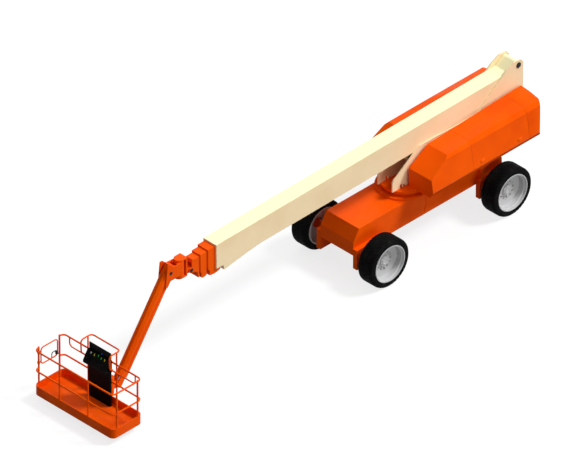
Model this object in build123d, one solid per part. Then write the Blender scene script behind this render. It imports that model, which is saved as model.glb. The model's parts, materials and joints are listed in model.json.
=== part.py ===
from build123d import *
import math
import os

# Telescopic boom lift, stowed: booms in, jib hanging, platform just off the ground.
# Millimetres, +X forward, +Y left, +Z up, ground at z = 0. Places are measured from the swing axis
# and shifted at the end so that the origin is under the middle of the overall length.

# Fits and clearances
RUN_FIT = 0.05  # radial play of a pin or shaft in its bore
SLIDE_FIT = 0.3  # play of a wear pad, gland or turning face
CLEAR = 6.0  # free gap beside what moves

# Wheels
WHEELBASE = 3810.0
FRONT_AXLE_X = 1645.0
WHEEL_Y = 1025.0  # middle plane of a wheel
TYRE_R = 595.0
TYRE_W = 440.0
TYRE_SHOULDER = 46.0
RIM_R = 450.0
RIM_WALL = 35.0
RIM_DISC_T = 20.0
HUB_R = 130.0
HUB_CAP_H = 42.0
SPINDLE_R = 45.0
SPINDLE_L = 55.0
KINGPIN_IN = 165.0  # kingpin inboard of the wheel's middle plane
KINGPIN_R = 30.0
STEER_DEG = 20.0

# Axles
AXLE_BOX_L = 820.0
AXLE_BOX_W = 120.0
AXLE_BOX_TOP = 830.0
AXLE_BOX_BOTTOM = 320.0
AXLE_BEAM_L = 280.0
ARM_L = 220.0
ARM_H = 300.0
FORK_EAR_T = 50.0
FORK_EAR_L = 150.0
FORK_REACH = 65.0  # fork ear past the kingpin

# Chassis frame
CHASSIS_W = 1000.0
CHASSIS_TOP = 1280.0
CHASSIS_BOTTOM = 660.0
CHASSIS_FRONT = 2060.0
CHASSIS_REAR = -2580.0
NOSE_SET = 190.0  # top edge behind the end face
NOSE_BREAK = 295.0  # end slope's height below the top
EYE_PLATE_L = 110.0
EYE_PLATE_T = 40.0
EYE_PLATE_H = 105.0
EYE_R = 25.0
EYE_Y = 380.0
EYE_SET = 130.0  # eye behind the end face
GROOVE_W = 34.0  # seam in the frame's side
GROOVE_DEPTH = 14.0

# Slew ring and turntable
SLEW_R = 630.0
SLEW_H = 40.0
TURNTABLE_R = 480.0
TURNTABLE_H = 120.0
TURNTABLE_LIP_R = 540.0
TURNTABLE_LIP_H = 60.0
DECK_T = 20.0
DECK_FRONT = -60.0
DECK_HALF_W = 700.0
PLATE_T = 30.0
LEG_FRONT = 571.0
PLATE_SHOULDER_Z = 2310.0
PLATE_REAR_Z = 2250.0
# feet of a side plate: notch behind the leg's front, its length and height
NOTCHES = ((235.0, 75.0, 95.0), (335.0, 60.0, 60.0))

# Hoods, left one given: outline of the cross-section outside the side plates
HOOD_FRONT = 130.0
HOOD_REAR = -3350.0
HOOD_GAP = 64.0  # from side plate to hood
HOOD_WALL = 30.0
HOOD_HALF_W = 1050.0
TRAY_H = 140.0
HOOD_SIDE_Z = 2233.0
HOOD_LEAN = 105.0
HOOD_TOP_FRONT = 2288.0
HOOD_TOP_REAR = 2420.0
HOOD_NOSE_Z = 1930.0
HOOD_NOSE_L = 585.0
TAIL_R = 260.0
SEAM_FRONT = -1140.0
SEAM_REAR = -2870.0
BULKHEAD_T = 20.0
BULKHEAD_TOP = 2150.0
DOOR_PIN_R = 10.0
DOOR_PIN_L = 40.0
DOOR_PIN_IN = 140.0  # hinge line out from the hood's inner edge
DOOR_PIN_DROP = 58.0  # hinge line under the hood's top
DOOR_EAR_L = 60.0
DOOR_DEG = 60.0
ENGINE = (900.0, 420.0, 560.0)  # length, width, height
ENGINE_X = -1500.0

# Boom pivot and base boom
PIVOT_X = -3340.0
PIVOT_Z = 2930.0
PIVOT_PIN_R = 50.0
PIVOT_TUBE_R = 85.0
BOOM_TILT = 0.75  # front end low
BOOM_DROP = 81.0  # top of the base boom under the pivot
BOOM_W = 400.0
BOOM_H = 630.0
BOOM_WALL = 12.0
BOOM_FRONT = 5950.0
BOOM_REAR = -3060.0
BOOM_NOSE_L = 1350.0
BOOM_NOSE_DROP = 138.0
BOOM_NOSE_SET = 230.0  # lowest point of the nose behind the boom's front
BOOM_EAR_T = 40.0
COLLAR_L = 150.0
PAD_L = 200.0
LIFT_DEG = 76.0
TELESCOPE_STROKE = 7300.0

# Telescoping sections, each inside the one before
# name, side pad, top pad, wall, front step, rear step, nose drop, nose length, nose set back
SECTIONS = (
    ("mid_boom", 28.0, 33.0, 10.0, 215.0, 150.0, 165.0, 360.0, 40.0),
    ("inner_boom", 18.0, 25.0, 10.0, 205.0, 150.0, 160.0, 190.0, 25.0),
    ("fly_boom", 14.0, 27.0, 8.0, 100.0, 150.0, 150.0, 92.0, 40.0),
)

# Lift cylinder, from its turntable pin to the boom's lug
CYL_BASE = (-2750.0, 1650.0)  # x, z
CYL_LUG_X = -100.0
CYL_LUG_DROP = 176.0  # lug pin under the base boom
CYL_BARREL_R = 100.0
CYL_BARREL_L = 2180.0
CYL_WALL = 15.0
CYL_ROD_R = 50.0
CYL_PIN_R = 40.0
CYL_EYE_R = 85.0
CYL_EYE_W = 110.0
LUG_T = 30.0

# Tip bracket, rotator and jib
TIP_PIN_OUT = 150.0  # tip pin ahead of the fly boom
TIP_PIN_DROP = 50.0  # tip pin under the boom's centre line
TIP_PIN_R = 35.0
TIP_EAR_R = 70.0
TIP_EAR_T = 30.0
HEAD_L = 130.0  # side plates past the fly boom's top
HEAD_TOP_T = 110.0
ROTATOR_OUT = 284.0  # rotator axis ahead of the tip pin
ROTATOR_R = 112.0
ROTATOR_UP = 380.0
ROTATOR_DOWN = 40.0
ROTATOR_LUG_T = 35.0
ROTATOR_PIN_R = 50.0
ROTATOR_BACK_T = 35.0
JIB_PIVOT_OUT = 356.0  # jib pivot ahead of the rotator axis
JIB_PIVOT_UP = 247.0  # jib pivot above the tip pin
JIB_DEG = 55.0  # jib below level when stowed
JIB_L = 2674.0
JIB_W = 190.0
JIB_H = 240.0
JIB_WALL = 22.0
JIB_CHAMFER = 55.0
JIB_BACK = 165.0  # jib's end behind its pivot
JIB_PIN_R = 30.0
JIB_GROOVE_H = 46.0
JIB_GROOVE_DEPTH = 12.0
JIB_CLEVIS_T = 25.0
CLEVIS_UP = 230.0
CLEVIS_DOWN = 330.0
JIB_SWING_DEG = 62.5
JIB_LIFT_DEG = 130.0
JIB_END_L = 180.0
JIB_CHEEK_T = 35.0
JIB_CHEEK_R = 80.0

# Platform support and platform
SUPPORT_OUT = 210.0  # platform's turning axis ahead of the jib's end pin
SUPPORT_R = 90.0
SUPPORT_UP = 230.0
SUPPORT_DOWN = 115.0
SUPPORT_PIN_R = 40.0
SUPPORT_PLATE_T = 35.0
SUPPORT_PIN_END = 25.0
PLATFORM_GAP = 206.0  # turning axis to the platform's edge
PLATFORM_L = 2440.0
PLATFORM_W = 910.0
PLATFORM_R = 125.0
PLATFORM_DROP = 230.0  # platform's underside below the jib's end pin
FLOOR_T = 65.0
TOE_H = 235.0
TOE_T = 25.0
TUBE_R = 20.0
END_POST_R = 22.0
SIDE_POST_R = 18.0
GUARD_TUBE_R = 18.0
RAIL_H = 1150.0  # rail heights above the platform's underside
RAIL_MID_H = 620.0
POST_CAP = 6.0  # end post above its top rail
END_POST = 315.0  # end posts each side of the platform's middle
SIDE_POST = 440.0
PLATFORM_TURN_DEG = 90.0
GATE_TUBE_R = 15.0
GATE_L = 500.0
GATE_H = 430.0
GATE_DROP = 40.0  # gate's top tube under the top rail
GATE_RING_R = 34.0
GATE_RING_H = 50.0
GATE_DEG = 90.0
CONSOLE_Y = 40.0
CONSOLE_W = 660.0
CONSOLE_D = 60.0
CONSOLE_H = 930.0
CONSOLE_BACK_GAP = 70.0
CONTROL_W = 690.0
CONTROL_D = 200.0
CONTROL_LIP = 60.0  # height of the control box's front edge
CONTROL_H = 290.0
CONTROL_KNOB_R = 55.0
CONTROL_KNOB_L = 30.0
CONSOLE_BACK_H = 170.0
CONSOLE_BACK_T = 20.0
GUARD_RISE = 320.0  # console guard above the top rail
GUARD_LEAN = 112.0  # guard's bar behind the rail
GUARD_REACH = 220.0  # guard's arms ahead of the rail
GUARD_BEND_R = 85.0
HOOP_DROP = 225.0  # low hoop under the top rail
HOOP_OUT = 1010.0  # low hoop's outer end from the platform's middle
HOOP_BEND_R = 90.0
HOOP_TUBE_R = 16.0


# Basic shapes
def block(x0, x1, y0, y1, z0, z1):
    """Box between two corners."""
    return Pos(x0, y0, z0) * Box(x1 - x0, y1 - y0, z1 - z0, align=(Align.MIN,) * 3)


def bar(start, end, radius):
    """Round bar from one point to another."""
    axis = Vector(*end) - Vector(*start)
    plane = Plane(origin=start, z_dir=axis)
    return plane * Cylinder(radius, axis.length, align=(Align.CENTER, Align.CENTER, Align.MIN))


def pin_y(x, z, radius, y0, y1):
    """Round bar along Y."""
    return bar((x, y0, z), (x, y1, z), radius)


def pin_z(x, y, radius, z0, z1):
    """Round bar along Z."""
    return bar((x, y, z0), (x, y, z1), radius)


def slab_x(outline, x0, x1):
    """Outline of (y, z) points, thick along X."""
    face = make_face(Polyline(*[(x0, y, z) for y, z in outline], close=True))
    return extrude(face, amount=x1 - x0, dir=(1, 0, 0))


def slab_y(outline, y0, y1):
    """Outline of (x, z) points, thick along Y."""
    face = make_face(Polyline(*[(x, y0, z) for x, z in outline], close=True))
    return extrude(face, amount=y1 - y0, dir=(0, 1, 0))


def turned_y(outline):
    """Outline of (radius, y) points or edges, turned about the Y axis."""
    return revolve(make_face(outline), axis=Axis.Y)


def both_sides(shape):
    """A shape with its mirror image across the middle plane."""
    return shape + mirror(shape, about=Plane.XZ)


NODES = {}

# Wheels, made about their own middle with +Y outboard
WHEEL_HALF = TYRE_W / 2
BEAD_SET = 10.0
DISH = 202.0  # wheel disc's face inside the rim's outer edge
disc_y = WHEEL_HALF - DISH
cap_y = disc_y + HUB_CAP_H
hub_back = -(SPINDLE_L - 36.0)
hub_face = hub_back - CLEAR


def tyre():
    """Smooth tyre ring with two flats on each shoulder."""
    seat = RIM_R + SLIDE_FIT
    flat = WHEEL_HALF - TYRE_SHOULDER
    knee = TYRE_R - TYRE_SHOULDER
    bulge = TYRE_SHOULDER * math.sqrt(0.5)
    left = (
        (seat, WHEEL_HALF - BEAD_SET),
        (seat + BEAD_SET, WHEEL_HALF),
        (knee, WHEEL_HALF),
        (knee + bulge, flat + bulge),
        (TYRE_R, flat),
    )
    right = [(radius, -y) for radius, y in reversed(left)]
    return turned_y(Polyline(*left, *right, close=True))


def rim():
    """Deep-dished rim with a stepped well, a hub cap and a blind spindle bore."""
    well = RIM_R - RIM_WALL
    ring = HUB_CAP_H / 4
    bore = SPINDLE_R + RUN_FIT
    outline = Polyline(
        (RIM_R, WHEEL_HALF),
        (RIM_R - 22, WHEEL_HALF),
        (RIM_R - 32, WHEEL_HALF - 55),
        (RIM_R - 54, WHEEL_HALF - 65),
        (RIM_R - 62, disc_y + 12),
        (HUB_R + 20, disc_y),
        (HUB_R, disc_y),
        (HUB_R, cap_y - ring),
        (HUB_R - ring, cap_y),
        (HUB_R * 0.65, cap_y),
        (HUB_R * 0.65, cap_y + ring),
        (HUB_R * 0.45, cap_y + ring),
        (HUB_R * 0.45, cap_y),
        (0, cap_y),
        (0, hub_back + SPINDLE_L),
        (bore, hub_back + SPINDLE_L),
        (bore, hub_back),
        (HUB_R - 5, hub_back),
        (HUB_R - 5, disc_y - RIM_DISC_T),
        (well, disc_y - RIM_DISC_T),
        (well, -WHEEL_HALF),
        (RIM_R, -WHEEL_HALF),
        close=True,
    )
    return turned_y(outline)


def knuckle():
    """Steering knuckle: kingpin, barrel, hub flange and spindle."""
    ear_in = ARM_H / 2 - FORK_EAR_T
    body_z = ear_in - SLIDE_FIT
    block_z = ear_in - 10
    flange_in = hub_face - 25
    body = pin_z(0, -KINGPIN_IN, KINGPIN_R, -ARM_H / 2, ARM_H / 2)
    body += pin_z(0, -KINGPIN_IN, KINGPIN_R * 2, -body_z, body_z)
    body += block(-55, 55, -KINGPIN_IN, flange_in, -block_z, block_z)
    body += bar((0, flange_in, 0), (0, hub_face, 0), HUB_R - 10)
    body += bar((0, hub_face, 0), (0, hub_back + SPINDLE_L - 5, 0), SPINDLE_R)
    return body


def axle(upper_block):
    """Axle beam under the frame, boxes beside it and forked arms out to the kingpins."""
    frame_y = CHASSIS_W / 2
    box_y = frame_y + AXLE_BOX_W
    arm_end = WHEEL_Y - KINGPIN_IN - KINGPIN_R * 2 - 10
    ear_end = WHEEL_Y - KINGPIN_IN + FORK_REACH
    beam_bottom = TYRE_R - ARM_H / 2 - 45
    ear_half = FORK_EAR_L / 2
    top = TYRE_R + ARM_H / 2
    bottom = TYRE_R - ARM_H / 2
    side = block(-AXLE_BOX_L / 2, AXLE_BOX_L / 2, frame_y, box_y, AXLE_BOX_BOTTOM, AXLE_BOX_TOP)
    side += block(-ARM_L / 2, ARM_L / 2, box_y, arm_end, bottom, top)
    for low, high in ((bottom, bottom + FORK_EAR_T), (top - FORK_EAR_T, top)):
        side += block(-ear_half, ear_half, arm_end, ear_end, low, high)
    side -= pin_z(0, WHEEL_Y - KINGPIN_IN, KINGPIN_R + RUN_FIT, bottom, top)
    if upper_block:
        side += block(120, 370, frame_y, box_y, AXLE_BOX_TOP, CHASSIS_TOP - 80)
    beam = block(-AXLE_BEAM_L / 2, AXLE_BEAM_L / 2, -frame_y, frame_y, beam_bottom, CHASSIS_BOTTOM)
    return beam + both_sides(side)


REAR_AXLE_X = FRONT_AXLE_X - WHEELBASE
AXLES = (
    # name, x, block above the axle box
    ("front", FRONT_AXLE_X, False),
    ("rear", REAR_AXLE_X, True),
)
for end, axle_x, upper_block in AXLES:
    NODES[f"{end}_axle"] = Pos(axle_x, 0, 0) * axle(upper_block)
    for piece, make in (("knuckle", knuckle), ("rim", rim), ("tyre", tyre)):
        left_piece = Pos(axle_x, WHEEL_Y, TYRE_R) * make()
        NODES[f"{end}_left_{piece}"] = left_piece
        NODES[f"{end}_right_{piece}"] = mirror(left_piece, about=Plane.XZ)


# Chassis frame with a tie-down eye at each corner
EYE_Z = CHASSIS_BOTTOM - EYE_PLATE_H + EYE_PLATE_L / 2
EYES = (
    # name, x, side
    ("front_left", CHASSIS_FRONT - EYE_SET, 1),
    ("front_right", CHASSIS_FRONT - EYE_SET, -1),
    ("rear_left", CHASSIS_REAR + EYE_SET, 1),
    ("rear_right", CHASSIS_REAR + EYE_SET, -1),
)
# seam down the frame's side: x, z
SEAM = ((-150.0, 1190.0), (-195.0, 1020.0), (-205.0, 880.0), (-150.0, 800.0), (-150.0, 700.0))


def chassis_frame():
    """Box frame with sloped ends, a seam in each side and tie-down eyes underneath."""
    break_z = CHASSIS_TOP - NOSE_BREAK
    outline = (
        (CHASSIS_FRONT - NOSE_SET, CHASSIS_TOP),
        (CHASSIS_FRONT - 15, break_z),
        (CHASSIS_FRONT, CHASSIS_BOTTOM),
        (CHASSIS_REAR, CHASSIS_BOTTOM),
        (CHASSIS_REAR + 15, break_z),
        (CHASSIS_REAR + NOSE_SET, CHASSIS_TOP),
    )
    half = CHASSIS_W / 2
    frame = slab_y(outline, -half, half)
    wide = GROOVE_W / 2
    band = [(x - wide, z) for x, z in SEAM] + [(x + wide, z) for x, z in reversed(SEAM)]
    frame -= both_sides(slab_y(band, half - GROOVE_DEPTH, half))
    for _, x, side in EYES:
        y0 = side * EYE_Y - EYE_PLATE_T / 2
        y1 = side * EYE_Y + EYE_PLATE_T / 2
        round_r = EYE_PLATE_L / 2
        plate = block(x - round_r, x + round_r, y0, y1, EYE_Z, CHASSIS_BOTTOM)
        plate += pin_y(x, EYE_Z, round_r, y0, y1)
        frame += plate - pin_y(x, EYE_Z, EYE_R, y0, y1)
    return frame


NODES["chassis_frame"] = chassis_frame()
SLEW_TOP = CHASSIS_TOP + SLEW_H
NODES["slew_ring"] = pin_z(0, 0, SLEW_R, CHASSIS_TOP, SLEW_TOP)

# Turntable: drum, deck, side plates
DECK_BOTTOM = SLEW_TOP + TURNTABLE_H
DECK_TOP = DECK_BOTTOM + DECK_T
PLATE_IN = BOOM_W / 2 + CLEAR
PLATE_OUT = PLATE_IN + PLATE_T
CYL_EYE_HALF = CYL_EYE_W / 2


def turntable_base():
    """Lipped drum on the slew ring, deck plate behind it and the lift cylinder's foot."""
    base = pin_z(0, 0, TURNTABLE_R, SLEW_TOP + SLIDE_FIT, DECK_TOP)
    base += pin_z(0, 0, TURNTABLE_LIP_R, DECK_TOP - TURNTABLE_LIP_H, DECK_TOP)
    base += block(HOOD_REAR + 100, DECK_FRONT, -DECK_HALF_W, DECK_HALF_W, DECK_BOTTOM, DECK_TOP)
    x, z = CYL_BASE
    foot_in = CYL_EYE_HALF + CLEAR
    foot = block(x - CYL_EYE_R, x + CYL_EYE_R, foot_in, foot_in + LUG_T, DECK_TOP, z)
    foot += pin_y(x, z, CYL_EYE_R, foot_in, foot_in + LUG_T)
    base += both_sides(foot)
    return base + pin_y(x, z, CYL_PIN_R, -foot_in - LUG_T, foot_in + LUG_T)


def side_plate():
    """Left upright plate, from the front leg to the boom pivot."""
    outline = (
        (LEG_FRONT, DECK_TOP),
        (LEG_FRONT, DECK_TOP + 250),
        (LEG_FRONT - 45, DECK_TOP + 310),
        (LEG_FRONT - 140, DECK_TOP + 362),
        (LEG_FRONT - 848, PLATE_SHOULDER_Z),
        (PIVOT_X + 1300, PLATE_REAR_Z),
        (PIVOT_X + 380, PIVOT_Z + 30),
        (PIVOT_X + 150, PIVOT_Z + 140),
        (PIVOT_X - 90, PIVOT_Z + 110),
        (PIVOT_X - 150, PIVOT_Z + 20),
        (PIVOT_X - 150, PIVOT_Z - 750),
        (HOOD_REAR + 100, DECK_TOP),
    )
    plate = slab_y(outline, PLATE_IN, PLATE_OUT)
    for back, length, height in NOTCHES:
        notch = LEG_FRONT - back
        plate -= block(notch - length, notch, PLATE_IN, PLATE_OUT, DECK_TOP, DECK_TOP + height)
    return plate - pin_y(PIVOT_X, PIVOT_Z, PIVOT_PIN_R + RUN_FIT, PLATE_IN, PLATE_OUT)


NODES["turntable_base"] = turntable_base()
NODES["side_plate_left"] = side_plate()
NODES["side_plate_right"] = mirror(side_plate(), about=Plane.XZ)
NODES["boom_pivot_pin"] = pin_y(PIVOT_X, PIVOT_Z, PIVOT_PIN_R, -PLATE_OUT - 15, PLATE_OUT + 15)

# Hoods: trays, front covers, doors and tail counterweights
HOOD_IN = PLATE_OUT + HOOD_GAP
HOOD_BASE = DECK_TOP
TRAY_TOP = HOOD_BASE + TRAY_H
DOOR_PIN_Y = HOOD_IN + DOOR_PIN_IN


def hood_top(x):
    """Height of the hood's top at a place along it."""
    front = HOOD_FRONT - HOOD_NOSE_L
    return HOOD_TOP_FRONT + (HOOD_TOP_REAR - HOOD_TOP_FRONT) * (front - x) / (front - HOOD_REAR)


DOOR_PIN_Z = hood_top(SEAM_FRONT) - DOOR_PIN_DROP


def hood_volume(inset):
    """Left hood's outer shape, or the space inside its walls."""
    side_drop = 100.0
    crown = HOOD_HALF_W - HOOD_LEAN
    section = make_face(Polyline(*[(0, y, z) for y, z in (
        (HOOD_IN, HOOD_BASE),
        (HOOD_HALF_W - 100, HOOD_BASE),
        (HOOD_HALF_W, HOOD_BASE + 160),
        (crown, HOOD_SIDE_Z),
        (crown - 83, HOOD_SIDE_Z + 99),
        (crown - 396, HOOD_TOP_REAR - 20),
        (HOOD_IN, HOOD_TOP_REAR),
    )], close=True))
    profile = make_face(Polyline(*[(x, 0, z) for x, z in (
        (HOOD_FRONT, HOOD_BASE),
        (HOOD_FRONT, HOOD_NOSE_Z),
        (HOOD_FRONT - HOOD_NOSE_L, HOOD_TOP_FRONT),
        (HOOD_REAR, HOOD_TOP_REAR),
        (HOOD_REAR, HOOD_BASE),
    )], close=True))
    plan = make_face(FilletPolyline(
        (HOOD_FRONT, HOOD_IN, 0),
        (HOOD_REAR, HOOD_IN, 0),
        (HOOD_REAR, HOOD_HALF_W, 0),
        (HOOD_FRONT, HOOD_HALF_W, 0),
        radius=(0.0, 0.0, TAIL_R, 0.0), close=True))
    if inset:
        section, profile, plan = (
            offset(face, amount=-inset, kind=Kind.INTERSECTION) for face in (section, profile, plan))
    length = HOOD_FRONT - HOOD_REAR
    across = Pos(HOOD_REAR, 0, 0) * extrude(section, amount=length, dir=(1, 0, 0))
    along = extrude(profile, amount=HOOD_HALF_W + side_drop, dir=(0, 1, 0))
    down = extrude(plan, amount=HOOD_TOP_REAR + side_drop, dir=(0, 0, 1))
    return across & along & down


def hood_slice(shape, x0, x1, z0, z1):
    """Part of a hood between two places along it and two heights."""
    return shape & block(x0, x1, 0, 2 * HOOD_HALF_W, z0, z1)


def door_pin(x, out, length, radius):
    """Hinge pin or bore at one end of a door."""
    return bar((x, DOOR_PIN_Y, DOOR_PIN_Z), (x + out * length, DOOR_PIN_Y, DOOR_PIN_Z), radius)


def hinge_ear(x0, x1):
    """Block under the hood's top that holds a hinge pin."""
    half = DOOR_PIN_R * 2
    top = hood_top(max(x0, x1)) - HOOD_WALL / 2
    return block(x0, x1, DOOR_PIN_Y - half, DOOR_PIN_Y + half, DOOR_PIN_Z - half, top)


def left_hood():
    """Pieces of the left hood by name."""
    outer = hood_volume(0)
    inner = hood_volume(HOOD_WALL)
    shell = outer - inner
    seam = CLEAR / 2
    high = HOOD_TOP_REAR + 1
    inner_skin = block(HOOD_REAR, HOOD_FRONT, 0, HOOD_IN + HOOD_WALL, HOOD_BASE, BULKHEAD_TOP + 80)
    tray = hood_slice(outer, HOOD_REAR, HOOD_FRONT, HOOD_BASE, TRAY_TOP)
    tray -= hood_slice(inner, HOOD_REAR, HOOD_FRONT, HOOD_BASE, TRAY_TOP)
    tray += block(HOOD_REAR + 100, HOOD_FRONT - 100, PLATE_OUT, HOOD_IN, HOOD_BASE, HOOD_BASE + DECK_T)
    bulkhead_y = HOOD_IN - CLEAR
    tray += block(
        SEAM_REAR, HOOD_FRONT - HOOD_NOSE_L, bulkhead_y - BULKHEAD_T, bulkhead_y, HOOD_BASE, BULKHEAD_TOP)
    cover = hood_slice(shell, SEAM_FRONT + seam, HOOD_FRONT, TRAY_TOP, high)
    cover += hinge_ear(SEAM_FRONT + seam, SEAM_FRONT + seam + DOOR_EAR_L)
    cover -= door_pin(SEAM_FRONT, 1, DOOR_PIN_L + seam, DOOR_PIN_R + RUN_FIT)
    door = hood_slice(shell, SEAM_REAR + seam, SEAM_FRONT - seam, TRAY_TOP + CLEAR, high)
    door -= inner_skin
    door += hinge_ear(SEAM_FRONT - seam - DOOR_EAR_L, SEAM_FRONT - seam)
    door += hinge_ear(SEAM_REAR + seam, SEAM_REAR + seam + DOOR_EAR_L)
    door += door_pin(SEAM_FRONT - seam - DOOR_EAR_L, 1, DOOR_EAR_L + CLEAR + DOOR_PIN_L - seam, DOOR_PIN_R)
    door += door_pin(SEAM_REAR + seam + DOOR_EAR_L, -1, DOOR_EAR_L + CLEAR + DOOR_PIN_L - seam, DOOR_PIN_R)
    weight = hood_slice(outer, HOOD_REAR, SEAM_REAR - seam, TRAY_TOP, high)
    weight -= door_pin(SEAM_REAR, -1, DOOR_PIN_L + seam, DOOR_PIN_R + RUN_FIT)
    return {"tray": tray, "hood_cover": cover, "hood_door": door, "counterweight": weight}


for piece, shape in left_hood().items():
    NODES[f"{piece}_left"] = shape
    NODES[f"{piece}_right"] = mirror(shape, about=Plane.XZ)

engine_l, engine_w, engine_h = ENGINE
engine_y = HOOD_IN + HOOD_WALL + 60
engine_z = HOOD_BASE + HOOD_WALL
NODES["engine"] = block(
    ENGINE_X - engine_l, ENGINE_X, engine_y, engine_y + engine_w, engine_z, engine_z + engine_h)


# Boom sections, made level and tilted about the pivot with the rest of the boom
BOOM_TOP = PIVOT_Z - BOOM_DROP
BOOM_BOTTOM = BOOM_TOP - BOOM_H
BOOM_MID = (BOOM_TOP + BOOM_BOTTOM) / 2
PIVOT_AXIS = Axis((PIVOT_X, 0, PIVOT_Z), (0, 1, 0))
TILT = math.radians(BOOM_TILT)


def tilted(shape):
    """Boom piece laid at the stowed boom's slope."""
    return shape.rotate(PIVOT_AXIS, BOOM_TILT)


def on_boom(x, z):
    """Place of a point of the level boom once it is tilted."""
    dx = x - PIVOT_X
    dz = z - PIVOT_Z
    return (
        PIVOT_X + dx * math.cos(TILT) + dz * math.sin(TILT),
        PIVOT_Z - dx * math.sin(TILT) + dz * math.cos(TILT),
    )


def box_tube(rear, front, width, height):
    """Box about the boom's centre line."""
    return block(rear, front, -width / 2, width / 2, BOOM_MID - height / 2, BOOM_MID + height / 2)


def base_boom():
    """Outer boom with its pivot ears, front collar, deep nose and lift lug."""
    mid_w, mid_h = SIZES["mid_boom"]
    boom = box_tube(BOOM_REAR, BOOM_FRONT, BOOM_W, BOOM_H)
    boom -= box_tube(
        BOOM_REAR + BOOM_WALL, BOOM_FRONT - COLLAR_L, BOOM_W - 2 * BOOM_WALL, BOOM_H - 2 * BOOM_WALL)
    boom -= box_tube(BOOM_FRONT - COLLAR_L, BOOM_FRONT, mid_w + 2 * SLIDE_FIT, mid_h + 2 * SLIDE_FIT)
    half = BOOM_W / 2
    tip_x = BOOM_FRONT - BOOM_NOSE_SET
    tip = (tip_x, BOOM_BOTTOM - BOOM_NOSE_DROP)
    root = (BOOM_FRONT - BOOM_NOSE_L, BOOM_BOTTOM)
    sag = (tip_x - (BOOM_NOSE_L - BOOM_NOSE_SET) / 2, BOOM_BOTTOM - 0.42 * BOOM_NOSE_DROP)
    step = (tip_x + 25, BOOM_BOTTOM)
    points = [(x, -half, z) for x, z in (root, sag, tip, step)]
    nose = make_face([ThreePointArc(*points[:3]), Line(*points[2:]), Line(points[3], points[0])])
    boom += extrude(nose, amount=BOOM_W, dir=(0, 1, 0))
    ear_back = min(PIVOT_X - 60, BOOM_REAR)
    crest = (PIVOT_X + 50, PIVOT_Z + PIVOT_TUBE_R - 10)
    ear = slab_y((
        (BOOM_REAR + BOOM_WALL, BOOM_TOP),
        crest,
        (ear_back, PIVOT_Z + 55),
        (ear_back, PIVOT_Z - 60),
        (BOOM_REAR, BOOM_TOP - 420),
        (BOOM_REAR + BOOM_WALL, BOOM_TOP - 420),
    ), half - BOOM_EAR_T, half)
    boom += both_sides(ear)
    boom += slab_y((
        (BOOM_REAR + BOOM_WALL, BOOM_TOP),
        crest,
        (crest[0] - 30, crest[1] - 15),
        (BOOM_REAR, BOOM_TOP - 30),
        (BOOM_REAR + BOOM_WALL, BOOM_TOP - 30),
    ), -half, half)
    boom += pin_y(PIVOT_X, PIVOT_Z, PIVOT_TUBE_R, -half, half)
    lug_in = CYL_EYE_HALF + CLEAR
    lug_z = BOOM_BOTTOM - CYL_LUG_DROP
    lug = slab_y((
        (CYL_LUG_X - 260, BOOM_BOTTOM),
        (CYL_LUG_X - 70, lug_z - 70),
        (CYL_LUG_X + 70, lug_z - 70),
        (CYL_LUG_X + 260, BOOM_BOTTOM),
    ), lug_in, lug_in + LUG_T)
    boom += both_sides(lug)
    boom -= pin_y(CYL_LUG_X, lug_z, CYL_PIN_R + RUN_FIT, -half, half)
    return boom - pin_y(PIVOT_X, PIVOT_Z, PIVOT_PIN_R + RUN_FIT, -half, half)


def boom_section(index):
    """Inner section: box with wear pads at its rear and a collar and curved nose at its front."""
    name, side_pad, top_pad, wall, _, _, nose_drop, nose_l, nose_set = SECTIONS[index]
    width, height = SIZES[name]
    rear, front = ENDS[name]
    section = box_tube(rear, front, width, height)
    pad_w = width + 2 * side_pad - 2 * SLIDE_FIT
    pad_h = height + 2 * top_pad - 2 * SLIDE_FIT
    section += box_tube(rear, rear + PAD_L, pad_w, pad_h)
    if index + 1 < len(SECTIONS):
        next_w, next_h = SIZES[SECTIONS[index + 1][0]]
        section -= box_tube(front - COLLAR_L, front, next_w + 2 * SLIDE_FIT, next_h + 2 * SLIDE_FIT)
    section -= box_tube(rear, front - COLLAR_L, width - 2 * wall, height - 2 * wall)
    outer_front = front - SECTIONS[index][4]
    bottom = BOOM_MID - height / 2
    under = bottom - nose_drop
    collar_z = bottom - wall - top_pad - 2 * CLEAR
    nose_rear = front - nose_l
    nose_front = front - nose_set
    low_x = nose_rear + 0.4 * (nose_front - nose_rear)
    low = (low_x, -width / 2, under)
    rear_edge = (nose_rear, -width / 2, (collar_z + 3 * under) / 4)
    front_edge = (nose_front, -width / 2, under + 0.12 * nose_drop)
    rise = max(nose_rear, outer_front + CLEAR)
    corners = ((nose_front, bottom), (rise, bottom), (rise, collar_z), (nose_rear - 1, collar_z))
    sides = Polyline(front_edge, *[(x, -width / 2, z) for x, z in corners], rear_edge)
    nose = make_face([ThreePointArc(rear_edge, low, front_edge), sides])
    return section + extrude(nose, amount=width, dir=(0, 1, 0))


SIZES = {}
ENDS = {}
outer_w = BOOM_W
outer_h = BOOM_H
outer_wall = BOOM_WALL
rear_x = BOOM_REAR
front_x = BOOM_FRONT
for name, side_pad, top_pad, wall, front_step, rear_step, *_ in SECTIONS:
    outer_w -= 2 * (outer_wall + side_pad)
    outer_h -= 2 * (outer_wall + top_pad)
    rear_x += rear_step
    front_x += front_step
    outer_wall = wall
    SIZES[name] = (outer_w, outer_h)
    ENDS[name] = (rear_x, front_x)

# Tip pin, where the tip bracket hangs on the fly boom
FLY_FRONT = ENDS["fly_boom"][1]
FLY_HALF = SIZES["fly_boom"][0] / 2
FLY_TOP = BOOM_MID + SIZES["fly_boom"][1] / 2
TIP_LEVEL = (FLY_FRONT + TIP_PIN_OUT, BOOM_MID - TIP_PIN_DROP)
TIP_EAR_IN = FLY_HALF - TIP_EAR_T


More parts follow.
